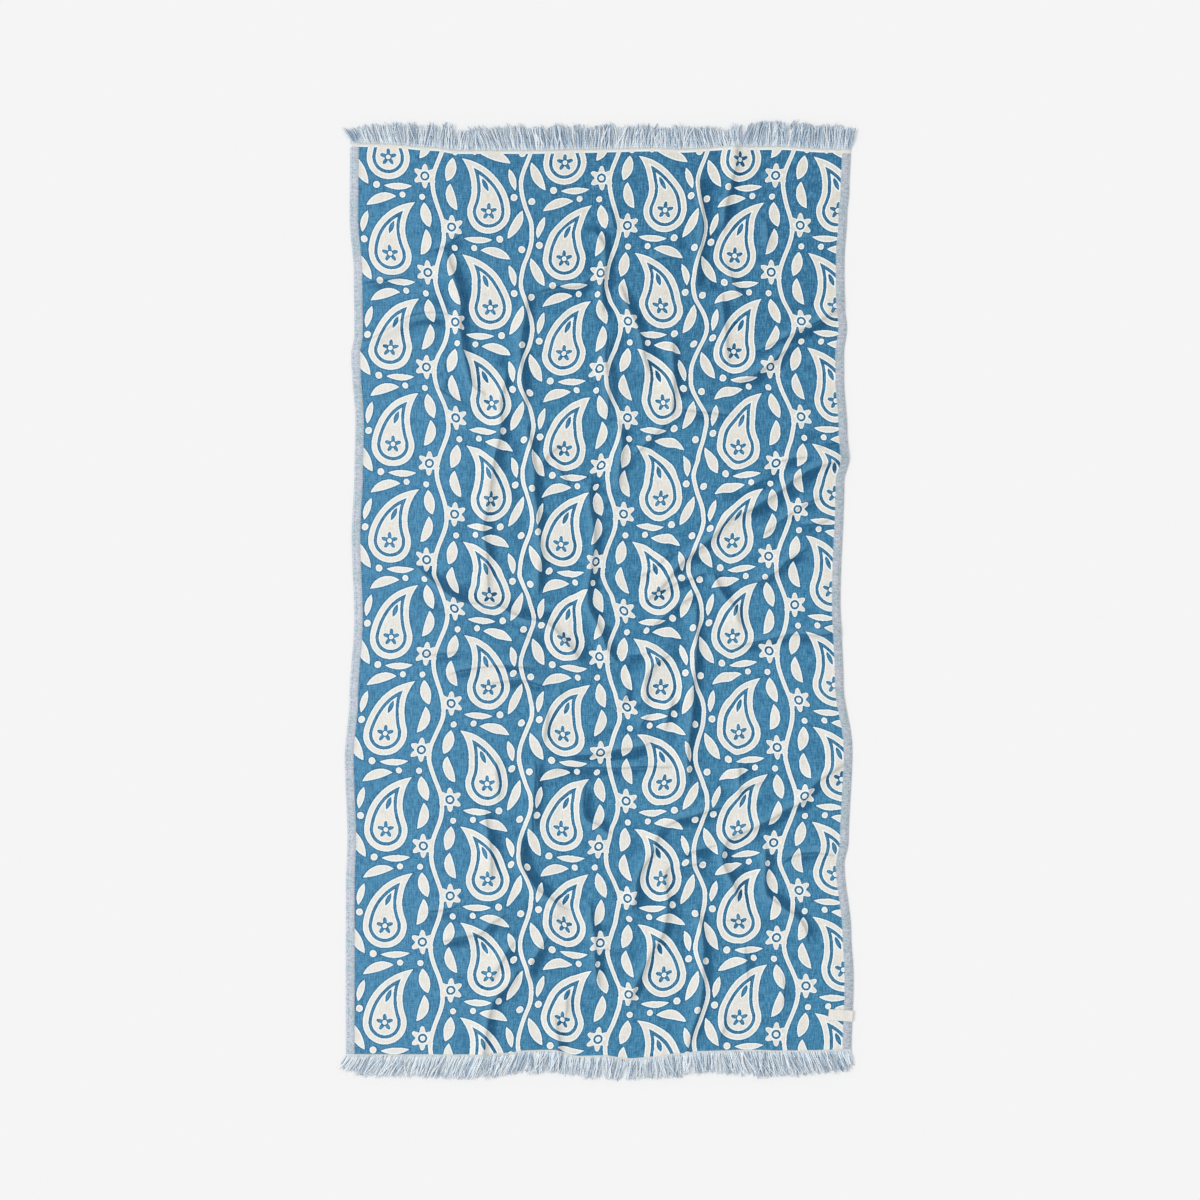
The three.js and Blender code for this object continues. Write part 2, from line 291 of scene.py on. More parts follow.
# Slight creases, too small to be in the solid.
CREASES = (
    Fold(((0.316, 0.740), (0.320, 0.695), (0.315, 0.650)), 0.0058),
    Fold(((0.160, 0.654), (0.120, 0.656), (0.080, 0.640)), 0.0058),
    Fold(((0.268, 0.353), (0.200, 0.363), (0.144, 0.371)), 0.0073, 0.012, 0.030),
    Fold(((0.142, 0.352), (0.110, 0.322), (0.083, 0.295), (0.058, 0.264)), 0.0068),
    Fold(((0.340, 0.242), (0.298, 0.224), (0.262, 0.198)), 0.0073, 0.014),
    Fold(((0.460, 0.268), (0.390, 0.274), (0.330, 0.266)), 0.0078, 0.013),
    Fold(((0.226, 0.064), (0.180, 0.046), (0.145, 0.037), (0.104, 0.006)), 0.0073),
    Fold(((0.208, 0.026), (0.160, 0.002), (0.125, -0.028), (0.088, -0.060)), 0.0068),
    Fold(((0.460, 0.164), (0.412, 0.148), (0.370, 0.152)), 0.0063),
    Fold(((-0.236, 0.705), (-0.262, 0.696), (-0.290, 0.674), (-0.330, 0.660)), 0.0063),
    Fold(((0.006, 0.628), (-0.035, 0.600), (-0.075, 0.598), (-0.122, 0.584)), 0.0068, 0.012, 0.026),
    Fold(((-0.350, 0.622), (-0.400, 0.612), (-0.470, 0.606)), 0.0058),
    Fold(((-0.325, 0.412), (-0.290, 0.392), (-0.256, 0.374)), 0.0063),
    Fold(((-0.050, 0.308), (-0.080, 0.290), (-0.100, 0.268), (-0.118, 0.244)), 0.0078),
    Fold(((-0.086, 0.268), (-0.070, 0.238), (-0.048, 0.206)), 0.0078),
    Fold(((-0.100, -0.130), (-0.170, -0.121), (-0.230, -0.121), (-0.296, -0.142)), 0.0063, 0.010, 0.024),
    Fold(((-0.080, -0.160), (-0.150, -0.149), (-0.220, -0.154)), 0.0063, 0.010, 0.024),
    Fold(((-0.066, -0.148), (-0.070, -0.172), (-0.062, -0.200)), 0.0058),
    Fold(((-0.094, -0.188), (-0.099, -0.235), (-0.108, -0.286)), 0.0078),
    Fold(((0.140, -0.088), (0.090, -0.096), (0.046, -0.100)), 0.0073),
    Fold(((0.064, -0.144), (0.052, -0.178), (0.038, -0.208)), 0.0083),
    Fold(((0.108, -0.200), (0.087, -0.225), (0.074, -0.256)), 0.0068),
    Fold(((0.165, -0.309), (0.090, -0.311), (0.020, -0.313), (-0.050, -0.314), (-0.104, -0.316)), 0.0062,
          0.010, 0.020),
    Fold(((0.271, -0.290), (0.268, -0.340), (0.263, -0.396)), 0.0073),
    Fold(((0.222, -0.496), (0.170, -0.501), (0.140, -0.512)), 0.0068, 0.010, 0.020),
    Fold(((0.470, -0.482), (0.410, -0.476), (0.370, -0.482), (0.336, -0.504)), 0.0068),
    Fold(((0.300, -0.604), (0.260, -0.603), (0.225, -0.608)), 0.0053),
    Fold(((0.275, -0.636), (0.279, -0.680), (0.284, -0.736)), 0.0058),
    Fold(((0.244, -0.765), (0.237, -0.810), (0.222, -0.850)), 0.0068),
    Fold(((-0.130, -0.572), (-0.096, -0.590), (-0.060, -0.616)), 0.0068),
    Fold(((-0.150, -0.636), (-0.172, -0.665), (-0.195, -0.705), (-0.218, -0.740)), 0.0073),
    Fold(((-0.058, -0.728), (-0.061, -0.775), (-0.068, -0.806)), 0.0073),
    Fold(((0.046, -0.655), (0.010, -0.658), (-0.020, -0.668)), 0.0053),
    Fold(((0.486, 0.304), (0.420, 0.296), (0.370, 0.272)), 0.0058, 0.010, 0.020),
    Fold(((0.440, 0.205), (0.380, 0.180), (0.330, 0.142), (0.290, 0.120)), 0.0060, 0.010, 0.022),
    Fold(((0.150, 0.104), (0.110, 0.068), (0.060, 0.040)), 0.0058, 0.010, 0.022),
    Fold(((-0.190, -0.046), (-0.150, -0.060), (-0.112, -0.084)), 0.0058, 0.010, 0.022),
    Fold(((-0.240, -0.090), (-0.300, -0.098), (-0.356, -0.090)), 0.0050, 0.010, 0.022),
    Fold(((0.340, -0.330), (0.280, -0.352), (0.230, -0.360)), 0.0058, 0.010, 0.022),
    Fold(((-0.245, -0.565), (-0.290, -0.582), (-0.340, -0.586)), 0.0053, 0.010, 0.022),
    Fold(((0.345, -0.690), (0.352, -0.740), (0.348, -0.790)), 0.0050),
)


@dataclass
class Lay:
    """How the cut cloth lies on the surface: its outline, its folds and its slight unevenness.

    Args:
        width, length: the cut cloth's, without the fringe.
        fade: length over which a fold rises at each end of its line.
        steps: steps that a fold's line is read in.
        blend: how softly folds merge where they meet; a higher number keeps them more apart.
        crest: how sharp the crests are: 1 is a straight-sided ridge, a higher number a finer one.
        crown: how wide the round top of a crest is to each side of its line.
        full: height of a full fold.
        waver, fall: how far a crest strays from its line, and the share of its height that it loses.
        swell, swollen: height of the broad swells between the folds, and how far they outweigh flat places.
        pucker, sharp: height of the small long puckers, and how narrow they are.
        puckered, patchy: share of that height that they have on the whole, and how much it varies.
        smooth, smoothed: height of a fold that pulls the puckers smooth, and the most that it takes.
        hem, hem_lift: how far in from its sides the cloth lies closer, and the share of its lift there.
        folds: all its folds.
    """

    width: float = 0.965
    length: float = 1.720
    fade: float = 0.038
    steps: int = 20
    blend: float = 3.0
    crest: float = 1.7
    crown: float = 0.0034
    full: float = 0.0100
    waver: float = 0.0030
    fall: float = 0.12
    swell: float = 0.0024
    swollen: float = 0.15
    pucker: float = 0.0014
    puckered: float = 0.55
    patchy: float = 0.6
    sharp: int = 3
    smooth: float = 0.0050
    smoothed: float = 0.85
    hem: float = 0.034
    hem_lift: float = 0.22
    folds: tuple[Fold, ...] = FOLDS + CREASES

    def __post_init__(self) -> None:
        """Draws the unevenness."""
        self.swells = Drift(3, across=0.150, along=0.190)
        self.puckers = Drift(11, across=0.022, along=0.090), Drift(12, across=0.080, along=0.026)
        self.calm = Drift(13, across=0.170, along=0.150)
        self.stray_x = Drift(14, across=0.038, along=0.046)
        self.stray_y = Drift(15, across=0.046, along=0.038)
        self.strength = Drift(16, across=0.060, along=0.070)

    def spread(self, x: Array, y: Array) -> tuple[Array, Array]:
        """Finds where points of the flat cut cloth lie over the surface.

        Args:
            x: places across the flat cut, from its middle.
            y: places along it, from its middle.

        Returns:
            The places along X and Y once the towel is laid out.
        """
        left = -self.width / 2 - LEFT_SIDE(y)
        right = self.width / 2 + RIGHT_SIDE(y)
        upper = self.length / 2 + UPPER_END(x)
        lower = -self.length / 2 - LOWER_END(x)
        across, along = x / self.width + 0.5, y / self.length + 0.5
        return left + (right - left) * across, lower + (upper - lower) * along

    def crest_line(self, fold: Fold) -> Array:
        """Works out a fold's line as short steps of a Catmull-Rom curve.

        Args:
            fold: the fold.

        Returns:
            Points along its line, one more than there are steps.
        """
        known = np.array(fold.line)
        known = np.vstack([2 * known[0] - known[1], known, 2 * known[-1] - known[-2]])
        spans = len(fold.line) - 1
        at = np.linspace(0, spans, self.steps + 1)
        i = np.minimum(at.astype(int), spans - 1)
        t = (at - i)[:, None]
        a, b, c, d = (known[i + k] for k in range(4))
        cubic, square = 3 * b - a - 3 * c + d, 2 * a - 5 * b + 4 * c - d
        return 0.5 * (2 * b + (c - a) * t + square * t**2 + cubic * t**3)

    def stand(self, fold: Fold, x: Array, y: Array) -> Array:
        """Works out how one fold stands.

        Args:
            fold: the fold.
            x, y: places over the surface.

        Returns:
            Two rows: its height there, and the distance to the left of its line.
        """
        line = self.crest_line(fold)
        reach = max(fold.left, fold.right) + self.crown
        low, high = line.min(axis=0) - reach, line.max(axis=0) + reach
        near = (x > low[0]) & (x < high[0]) & (y > low[1]) & (y < high[1])
        stands = np.zeros((2, *x.shape))
        if near.any():
            stands[:, near] = self.stand_near(fold, line, x[near], y[near])
        return stands

    def stand_near(self, fold: Fold, line: Array, x: Array, y: Array) -> Array:
        """Works out a crest that falls off to both sides of its line and fades at both ends of it.

        Args:
            fold: the fold.
            line: points along its line.
            x: places near it, along X.
            y: their places along Y.

        Returns:
            Two rows, as stand gives them.
        """
        spans = np.diff(line, axis=0)
        lengths = np.hypot(*spans.T)
        before = np.concatenate([[0], np.cumsum(lengths)])
        nearest, along, side = np.full(x.shape, np.inf), np.zeros(x.shape), np.zeros(x.shape)
        for start, span, size, walked in zip(line, spans, lengths, before):
            dx, dy = x - start[0], y - start[1]
            share = np.clip((dx * span[0] + dy * span[1]) / size**2, 0, 1)
            distance = np.hypot(dx - share * span[0], dy - share * span[1])
            closer = distance < nearest
            nearest = np.where(closer, distance, nearest)
            along = np.where(closer, walked + share * size, along)
            side = np.where(closer, span[0] * dy - span[1] * dx, side)
        from_crown = np.hypot(nearest, self.crown) - self.crown
        slope = np.clip(from_crown / np.where(side > 0, fold.left, fold.right), 0, 1)
        rise = np.clip(np.minimum(along, before[-1] - along) / self.fade, 0, 1)
        return np.stack([fold.height * (1 - slope) ** self.crest * eased(rise), nearest * np.sign(side)])

    def all_stands(self, x: Array, y: Array) -> Iterator[Array]:
        """Works out how each fold stands, its crest a little astray from its line."""
        astray = x + self.waver * self.stray_x(x, y), y + self.waver * self.stray_y(x, y)
        return (self.stand(fold, *astray) for fold in self.folds)

    def tallest(self, x: Array, y: Array) -> tuple[Array, Array]:
        """Finds the fold that stands tallest at each place.

        Args:
            x, y: places over the surface.

        Returns:
            How tall it stands, as a share of a full fold, and the distance to the left of its line.
        """
        tall, left = np.zeros(x.shape), np.zeros(x.shape)
        for height, beside in self.all_stands(x, y):
            taller = height > tall
            tall, left = np.where(taller, height, tall), np.where(taller, beside, left)
        return tall / self.full * self.hem_share(x, y), left

    def lift(self, x: Array, y: Array) -> Array:
        """Works out how far the cloth stands off the surface.

        Args:
            x, y: places over the surface.

        Returns:
            The height of its underside there.
        """
        total = sum(height**self.blend for height, _ in self.all_stands(x, y))
        folded = total ** (1 / self.blend) * (1 - self.fall * (0.5 + 0.5 * self.strength(x, y)))
        swell = self.swell * np.clip(self.swells(x, y) + self.swollen, 0, None)
        calm = np.clip(self.puckered + self.patchy * self.calm(x, y), 0, 1)
        calm *= 1 - np.clip(folded / self.smooth, 0, self.smoothed)
        ridges = sum((1 - np.abs(drift(x, y))) ** self.sharp for drift in self.puckers)
        return (folded + swell + self.pucker * calm * ridges) * self.hem_share(x, y)

    def hem_share(self, x: Array, y: Array) -> Array:
        """Works out the share of its lift that the cloth keeps.

        Args:
            x, y: places over the surface.

        Returns:
            The shares there.
        """
        half = self.width / 2
        inside = np.minimum(x + half + LEFT_SIDE(y), half + RIGHT_SIDE(y) - x)
        return self.hem_lift + (1 - self.hem_lift) * eased(np.clip(inside / self.hem, 0, 1))


# ---- Node trees ----


class Value:
    """A number that varies over a surface: a socket of a node tree, on which arithmetic adds Math nodes."""

    def __init__(self, graph: Graph, socket: NodeSocket) -> None:
        """Keeps the tree and the socket."""
        self.graph, self.socket = graph, socket

    def __add__(self, other: Term) -> Value:
        """Adds."""
        return self.graph.math("ADD", self, other)

    def __sub__(self, other: Term) -> Value:
        """Subtracts."""
        return self.graph.math("SUBTRACT", self, other)

    def __rsub__(self, other: Term) -> Value:
        """Subtracts from a number."""
        return self.graph.math("SUBTRACT", other, self)

    def __mul__(self, other: Term) -> Value:
        """Multiplies."""
        return self.graph.math("MULTIPLY", self, other)

    def __truediv__(self, other: Term) -> Value:
        """Divides."""
        return self.graph.math("DIVIDE", self, other)

    def __gt__(self, other: Term) -> Value:
        """Is 1 where it is greater."""
        return self.graph.math("GREATER_THAN", self, other)

    def __lt__(self, other: Term) -> Value:
        """Is 1 where it is less."""
        return self.graph.math("LESS_THAN", self, other)


Term = Value | float


class Graph:
    """A node tree that is being built."""

    NUMBERS = ("DISTANCE", "LENGTH", "DOT_PRODUCT")

    def __init__(self, tree: NodeTree) -> None:
        """Starts with an empty tree."""
        self.tree = tree
        tree.nodes.clear()

    def node(self, kind: str, **settings: object) -> Node:
        """Adds a node.

        Args:
            kind: its type, without the leading ShaderNode.
            settings: properties of the node.

        Returns:
            The node.
        """
        made = self.tree.nodes.new(kind if kind.startswith("Node") else f"ShaderNode{kind}")
        for name, value in settings.items():
            setattr(made, name, value)
        return made

    def feed(self, socket: NodeSocket, term: object) -> None:
        """Feeds an input.

        Args:
            socket: the input.
            term: a value to link to it, or a plain number, place or colour to set it to.
        """
        if isinstance(term, Value):
            self.tree.links.new(term.socket, socket)
        else:
            socket.default_value = term

    def fill(self, node: Node, **terms: object) -> Node:
        """Feeds a node's inputs, which are given by name with _ for each space.

        Args:
            node: the node.
            terms: what each input gets.

        Returns:
            The node.
        """
        for name, term in terms.items():
            self.feed(node.inputs[name.replace("_", " ")], term)
        return node

    def result(self, node: Node, *terms: object, output: int = 0) -> Value:
        """Feeds a node's first inputs and reads one of its outputs.

        Args:
            node: the node.
            terms: what the inputs get, in order.
            output: number of the output.

        Returns:
            The output.
        """
        for socket, term in zip(node.inputs, terms):
            self.feed(socket, term)
        return Value(self, node.outputs[output])

    def math(self, operation: str, *terms: Term) -> Value:
        """Adds a Math node."""
        return self.result(self.node("Math", operation=operation), *terms)

    def smallest(self, *terms: Term) -> Value:
        """Takes the smallest of several."""
        return reduce(lambda first, second: self.math("MINIMUM", first, second), terms)

    def largest(self, *terms: Term) -> Value:
        """Takes the largest of several."""
        return reduce(lambda first, second: self.math("MAXIMUM", first, second), terms)

    def vector(self, operation: str, *terms: object) -> Value:
        """Adds a Vector Math node, and gives its number where it has one."""
        made = self.node("VectorMath", operation=operation)
        return self.result(made, *terms, output=int(operation in self.NUMBERS))

    def split(self, vector: Value) -> tuple[Value, Value]:
        """Gives a vector's X and Y."""
        made = self.node("SeparateXYZ")
        return self.result(made, vector), self.result(made, output=1)

    def join(self, x: Term, y: Term, z: Term = 0.0) -> Value:
        """Makes a vector."""
        return self.result(self.node("CombineXYZ"), x, y, z)

    def mix(self, share: Term, first: object, second: object) -> Value:
        """Mixes two colours.

        Args:
            share: share of the second.
            first: the first.
            second: the second.

        Returns:
            The mixed colour.
        """
        made = self.node("Mix", data_type="RGBA")
        sockets = {socket.identifier: socket for socket in (*made.inputs, *made.outputs)}
        for name, term in (("Factor_Float", share), ("A_Color", first), ("B_Color", second)):
            self.feed(sockets[name], term)
        return Value(self, sockets["Result_Color"])

    def noise(self, place: Value, scale: float, detail: float = 2.0, roughness: float = 0.5) -> Value:
        """Adds a Noise Texture.

        Args:
            place: where it is read.
            scale: its scale.
            detail: its octaves.
            roughness: how strong the finer octaves are.

        Returns:
            Its value, from 0 to 1.
        """
        made = self.node("TexNoise")
        return self.result(self.fill(made, Vector=place, Scale=scale, Detail=detail, Roughness=roughness))

    def ramp(self, value: Value, low: float, high: float, most: float = 1.0) -> Value:
        """Maps a range of values smoothly to 0 to the most, and holds it at both ends."""
        made = self.node("MapRange", interpolation_type="SMOOTHSTEP")
        return self.result(self.fill(made, Value=value, From_Min=low, From_Max=high, To_Max=most))

    def read(self, attribute: str) -> Value:
        """Reads an attribute of the piece."""
        return Value(self, self.node("Attribute", attribute_name=attribute).outputs["Fac"])

    def group(self, tree: NodeTree, **inputs: object) -> dict[str, Value]:
        """Places a node group.

        Args:
            tree: the group's tree.
            inputs: what its inputs get, by name with _ for each space.

        Returns:
            Its outputs by name.
        """
        made = self.fill(self.node("Group", node_tree=tree), **inputs)
        return {socket.name: Value(self, socket) for socket in made.outputs}


class GroupBuilder:
    """Makes a shared node group."""

    def __init__(self, name: str) -> None:
        """Starts the group's tree.

        Args:
            name: the group's name.
        """
        self.tree = bpy.data.node_groups.new(name, "ShaderNodeTree")
        self.graph = Graph(self.tree)
        self.entry = self.graph.node("NodeGroupInput")
        self.exit = self.graph.node("NodeGroupOutput")

    def takes(self, name: str, kind: str = "NodeSocketFloat", default: object = None) -> Value:
        """Adds an input.

        Args:
            name: the socket's name.
            kind: its type.
            default: what it holds if nothing is linked.

        Returns:
            The input, to build on.
        """
        socket = self.tree.interface.new_socket(name=name, in_out="INPUT", socket_type=kind)
        if default is not None:
            socket.default_value = default
        return Value(self.graph, self.entry.outputs[name])

    def gives(self, **values: Value) -> None:
        """Adds outputs.

        Args:
            values: what each puts out, by name.
        """
        for name, value in values.items():
            self.tree.interface.new_socket(name=name, in_out="OUTPUT", socket_type="NodeSocketFloat")
            self.graph.feed(self.exit.inputs[name], value)


# ---- The woven figure: a paisley on a vine, in columns that step by half a repeat and face each other ----


def turned(angle: float) -> Vector:
    """Gives the unit vector at an angle in degrees."""
    return Vector((math.cos(math.radians(angle)), math.sin(math.radians(angle))))


@dataclass(frozen=True)
class Arc:
    """One side of a shape: inside a circle, or outside it if the radius is negative."""

    centre: Vector
    radius: float

    @classmethod
    def through(cls, start: Vector, end: Vector, bulge: float) -> Arc:
        """Makes the arc through two tips.

        Args:
            start: the first tip.
            end: the second tip.
            bulge: how far it stands out to the left of the way from the first to the second.

        Returns:
            The arc.
        """
        chord = end - start
        half = chord.length / 2
        left = Vector((-chord.y, chord.x)).normalized()
        size = (half**2 + bulge**2) / (2 * abs(bulge))
        inward = math.copysign(size, bulge)
        return cls((start + end) / 2 + left * (bulge - inward), inward)

    def depth(self, graph: Graph, place: Value) -> Value:
        """Works out how far inside it a place is; negative is outside."""
        distance = graph.vector("DISTANCE", place, self.centre.to_3d())
        return graph.math("MULTIPLY_ADD", distance, -math.copysign(1.0, self.radius), self.radius)


@dataclass(frozen=True)
class Leaf:
    """A pointed leaf between two arcs, which bulge out from the line between its tips, or in if negative."""

    x: float
    y: float
    angle: float
    length: float
    left: float
    right: float

    def depth(self, graph: Graph, place: Value) -> Value:
        """Works out how far inside it a place is.

        Args:
            graph, place: the group's tree, and the place in the repeat.

        Returns:
            The depth.
        """
        middle, reach = Vector((self.x, self.y)), turned(self.angle) * self.length / 2
        left = Arc.through(middle - reach, middle + reach, self.left)
        right = Arc.through(middle + reach, middle - reach, self.right)
        return graph.smallest(left.depth(graph, place), right.depth(graph, place))


@dataclass(frozen=True)
class Blossom:
    """A small flower of rounded petals round its mean radius, with or without a ring round its eye."""

    x: float
    y: float
    radius: float
    petal: float
    petals: int
    turn: float = 0.0
    eye: float = 0.0
    ring: float = 0.0044

    def depth(self, graph: Graph, place: Value) -> Value:
        """Works out how far inside it a place is.

        Args:
            graph, place: the group's tree, and the place in the repeat.

        Returns:
            The depth.
        """
        to_place = graph.vector("SUBTRACT", place, (self.x, self.y, 0.0))
        across, along = graph.split(to_place)
        angle = graph.math("ARCTAN2", along, across)
        phase = graph.math("MULTIPLY_ADD", angle, float(self.petals), -self.petals * math.radians(self.turn))
        reach = graph.math("MULTIPLY_ADD", graph.math("COSINE", phase), self.petal, self.radius)
        distance = graph.vector("LENGTH", to_place)
        inside = reach - distance
        if not self.eye:
            return inside
        return graph.smallest(inside, graph.math("ABSOLUTE", distance - self.eye) - self.ring / 2)


@dataclass(frozen=True)
class Paisley:
    """A drop with a curling tip: a round head, and a tail between two arcs that run smoothly out of it.

    Args:
        head, radius: middle and radius of the head.
        tip: where the tail ends.
        outer, inner: angles at which the two arcs leave the head, in degrees.
        border, heart: depths at which the border ends and the heart starts, with a channel between them.
    """

    head: Place
    radius: float
    tip: Place
    outer: float
    inner: float
    border: float
    heart: float

    def side(self, way: Vector) -> Arc:
        """Makes a side of the tail.

        Args:
            way: the unit vector from the head's middle to where the side leaves the head.

        Returns:
            The arc from there to the tip.
        """
        span = Vector(self.head) - Vector(self.tip)
        reach = span.dot(way)
        size = span.length_squared + 2 * self.radius * reach + self.radius**2
        radius = size / (2 * (reach + self.radius))
        return Arc(Vector(self.head) - way * (radius - self.radius), radius)

    def depth(self, graph: Graph, place: Value) -> Value:
        """Works out how far inside its outline a place is.

        Args:
            graph, place: the group's tree, and the place in the repeat.

        Returns:
            The depth.
        """
        out, back = turned(self.outer), turned(self.inner)
        tail = graph.smallest(self.side(out).depth(graph, place), self.side(back).depth(graph, place))
        to_place = graph.vector("SUBTRACT", place, (*self.head, 0.0))
        over_outer = graph.vector("DOT_PRODUCT", to_place, (out.y, -out.x, 0.0)) > 0.0
        over_inner = graph.vector("DOT_PRODUCT", to_place, (-back.y, back.x, 0.0)) > 0.0
        round_head = Arc(Vector(self.head), self.radius).depth(graph, place)
        return graph.math("MULTIPLY_ADD", tail - round_head, over_outer * over_inner, round_head)

    def with_channel(self, graph: Graph, place: Value) -> Value:
        """Cuts a channel between the border and the heart.

        Args:
            graph, place: the group's tree, and the place in the repeat.

        Returns:
            The depth inside what is left.
        """
        depth = self.depth(graph, place)
        middle, half = (self.border + self.heart) / 2, (self.heart - self.border) / 2
        return graph.smallest(depth, graph.math("ABSOLUTE", depth - middle) - half)


def berry(x: float, y: float, radius: float) -> Arc:
    """Makes a small round berry."""
    return Arc(Vector((x, y)), radius)


@dataclass(frozen=True)
class VineRepeat:
    """The repeat of the woven figure.

    Args:
        scale: how large it is woven; the sizes that follow are for a scale of 1.
        width, height: width of a column, and height of a repeat.
        cell: size of the woven steps at the figure's edges.
        sway, phase: how far the vine between two columns sways, and where, in radians.
        stem: half the vine's thickness.
        paisley, seed: the drop in the middle, and the seed cut out of its tail.
        star, star_eye: the star cut out of its heart, and the dot left in it.
        flower, leaves, berries: what stands round the drop and on the vine.
    """

    scale: float = 0.88
    width: float = 0.193
    height: float = 0.206
    cell: float = 0.0008
    sway: float = 0.013
    phase: float = 0.9
    stem: float = 0.0048
    paisley: Paisley = Paisley((-0.014, -0.032), 0.047, (0.046, 0.082), 172, 20, 0.0125, 0.0195)
    star: Blossom = Blossom(-0.014, -0.032, 0.013, 0.0055, 5, 18)
    star_eye: Arc = berry(-0.014, -0.032, 0.005)
    seed: Leaf = Leaf(-0.006, 0.025, 66, 0.030, 0.005, 0.005)
    flower: Blossom = Blossom(0.0665, -0.066, 0.0205, 0.0055, 6, 30, 0.0078)
    leaves: tuple[Leaf, ...] = (
        Leaf(0.062, -0.001, 74, 0.058, 0.003, 0.018),
        Leaf(0.072, 0.057, 104, 0.054, 0.014, 0.009),
        Leaf(-0.028, 0.081, 17, 0.068, 0.016, 0.004),
        Leaf(-0.064, 0.036, 74, 0.048, 0.009, 0.006),
        Leaf(0.008, -0.091, 3, 0.062, 0.005, 0.009),
        Leaf(-0.072, -0.060, 117, 0.068, 0.013, 0.008),
    )
    berries: tuple[Arc, ...] = (
        berry(-0.068, -0.002, 0.0075),
        berry(0.018, 0.096, 0.0065),
        berry(-0.086, 0.092, 0.0075),
        berry(-0.039, -0.091, 0.0075),
        berry(0.061, 0.095, 0.0065),
    )

    def tree(self) -> NodeTree:
        """Builds the shared node group, from a place on the cut cloth to the depth inside the figure.

        Returns:
            The group's tree.
        """
        made = GroupBuilder("Vine Figure")
        graph = made.graph
        woven = graph.vector("SNAP", made.takes("Place", "NodeSocketVector"), (self.cell,) * 3)
        across, along = graph.split(graph.vector("DIVIDE", woven, (self.scale,) * 3))
        column = graph.math("FLOOR", across / self.width)
        mirrored = graph.math("FLOORED_MODULO", column, 2.0)
        x = (across - (column + 0.5) * self.width) * (1.0 - mirrored * 2.0)
        stepped = along + mirrored * (self.height / 2)
        y = stepped - (graph.math("FLOOR", stepped / self.height) + 0.5) * self.height
        made.gives(Depth=self.figure(graph, graph.join(x, y), x, y) * self.scale)
        return made.tree

    def figure(self, graph: Graph, spot: Value, x: Value, y: Value) -> Value:
        """Joins the shapes of one repeat.

        Args:
            graph: the group's tree.
            spot: the place in the repeat.
            x: its place across the repeat, from the middle.
            y: its place along the repeat.

        Returns:
            The depth inside the figure.
        """
        sway = graph.math("SINE", graph.math("MULTIPLY_ADD", y, 2 * math.pi / self.height, self.phase))
        side = graph.math("SIGN", x)
        off = graph.math("ABSOLUTE", x - side * (self.width / 2) - sway * self.sway)
        drop = graph.smallest(
            self.paisley.with_channel(graph, spot),
            graph.largest(self.star.depth(graph, spot) * -1.0, self.star_eye.depth(graph, spot)),
            self.seed.depth(graph, spot) * -1.0,
        )
        rest = (shape.depth(graph, spot) for shape in (self.flower, *self.leaves, *self.berries))
        return graph.largest(drop, self.stem - off, *rest)


# ---- Finishes ----

BLACK: Colour = (0.0, 0.0, 0.0, 1.0)
WHITE: Colour = (1.0, 1.0, 1.0, 1.0)
Masks = dict[str, Value]


def dyed(red: int, green: int, blue: int) -> Colour:
    """Makes a linear colour.

    Args:
        red, green, blue: the values from 0 to 255 that a screen shows.

    Returns:
        The colour.
    """
    shown = (value / 255 for value in (red, green, blue))
    linear = (value / 12.92 if value <= 0.04045 else ((value + 0.055) / 1.055) ** 2.4 for value in shown)
    return (*linear, 1.0)


@dataclass(frozen=True)
class Tint:
    """A colour of which a mask mixes in the more, from its start to its full value."""

    mask: str
    start: float
    full: float
    most: float
    colour: Colour


def tinted(graph: Graph, colour: object, masks: Masks, *tints: Tint) -> Value:
    """Mixes tints into a colour, in turn.

    Args:
        graph: the material's tree.
        colour: the colour to start from.
        masks: the masks by name.
        tints: the tints.

    Returns:
        The mixed colour.
    """
    for tint in tints:
        share = graph.ramp(masks[tint.mask], tint.start, tint.full, tint.most)
        colour = graph.mix(share, colour, tint.colour)
    return colour


def weighed(masks: Masks, **weights: float) -> Value:
    """Adds up masks by weight."""
    return reduce(add, (masks[name] * weight for name, weight in weights.items()))


@dataclass(frozen=True)
class Weave:
    """The shared effect of plain-woven cotton: raised threads, slubs and uneven dye."""

    pitch: float = 0.0011
    ends: Spot = (480.0, 64.0, 1.0)
    picks: Spot = (74.0, 480.0, 1.0)
    slub: float = 0.6
    slub_from: float = 0.60
    slub_full: float = 0.78
    cloud: float = 26.0
    mottle: float = 260.0
    drawn: Spot = (1.0, 0.7, 1.0)
    octaves: float = 2.0
    roughness: float = 0.6

    def tree(self) -> NodeTree:
        """Builds the shared node group.

        Returns:
            The group's tree.
        """
        made = GroupBuilder("Plain Weave")
        graph = made.graph
        place = made.takes("Place", "NodeSocketVector")
        pitch = made.takes("Thread Pitch", default=self.pitch)
        warp, weft = graph.split(graph.vector("DIVIDE", place, graph.join(pitch, pitch, 1.0)))
        over = graph.math("SINE", warp * math.pi) * graph.math("SINE", weft * math.pi)
        by_ends, by_picks, by_cloth = (
            graph.vector("MULTIPLY", place, stretch) for stretch in (self.ends, self.picks, self.drawn)
        )
        picks = graph.noise(by_picks, 1.0, 1.0)
        slub = graph.ramp(picks, self.slub_from, self.slub_full, self.slub)
        made.gives(
            Height=graph.math("ABSOLUTE", over) * 0.5 + slub * 0.5,
            Ends=graph.noise(by_ends, 1.0, 1.0),
            Picks=picks,
            Cloud=graph.noise(place, self.cloud, self.octaves, self.roughness),
            Mottle=graph.noise(by_cloth, self.mottle, self.octaves, self.roughness),
        )
        return made.tree


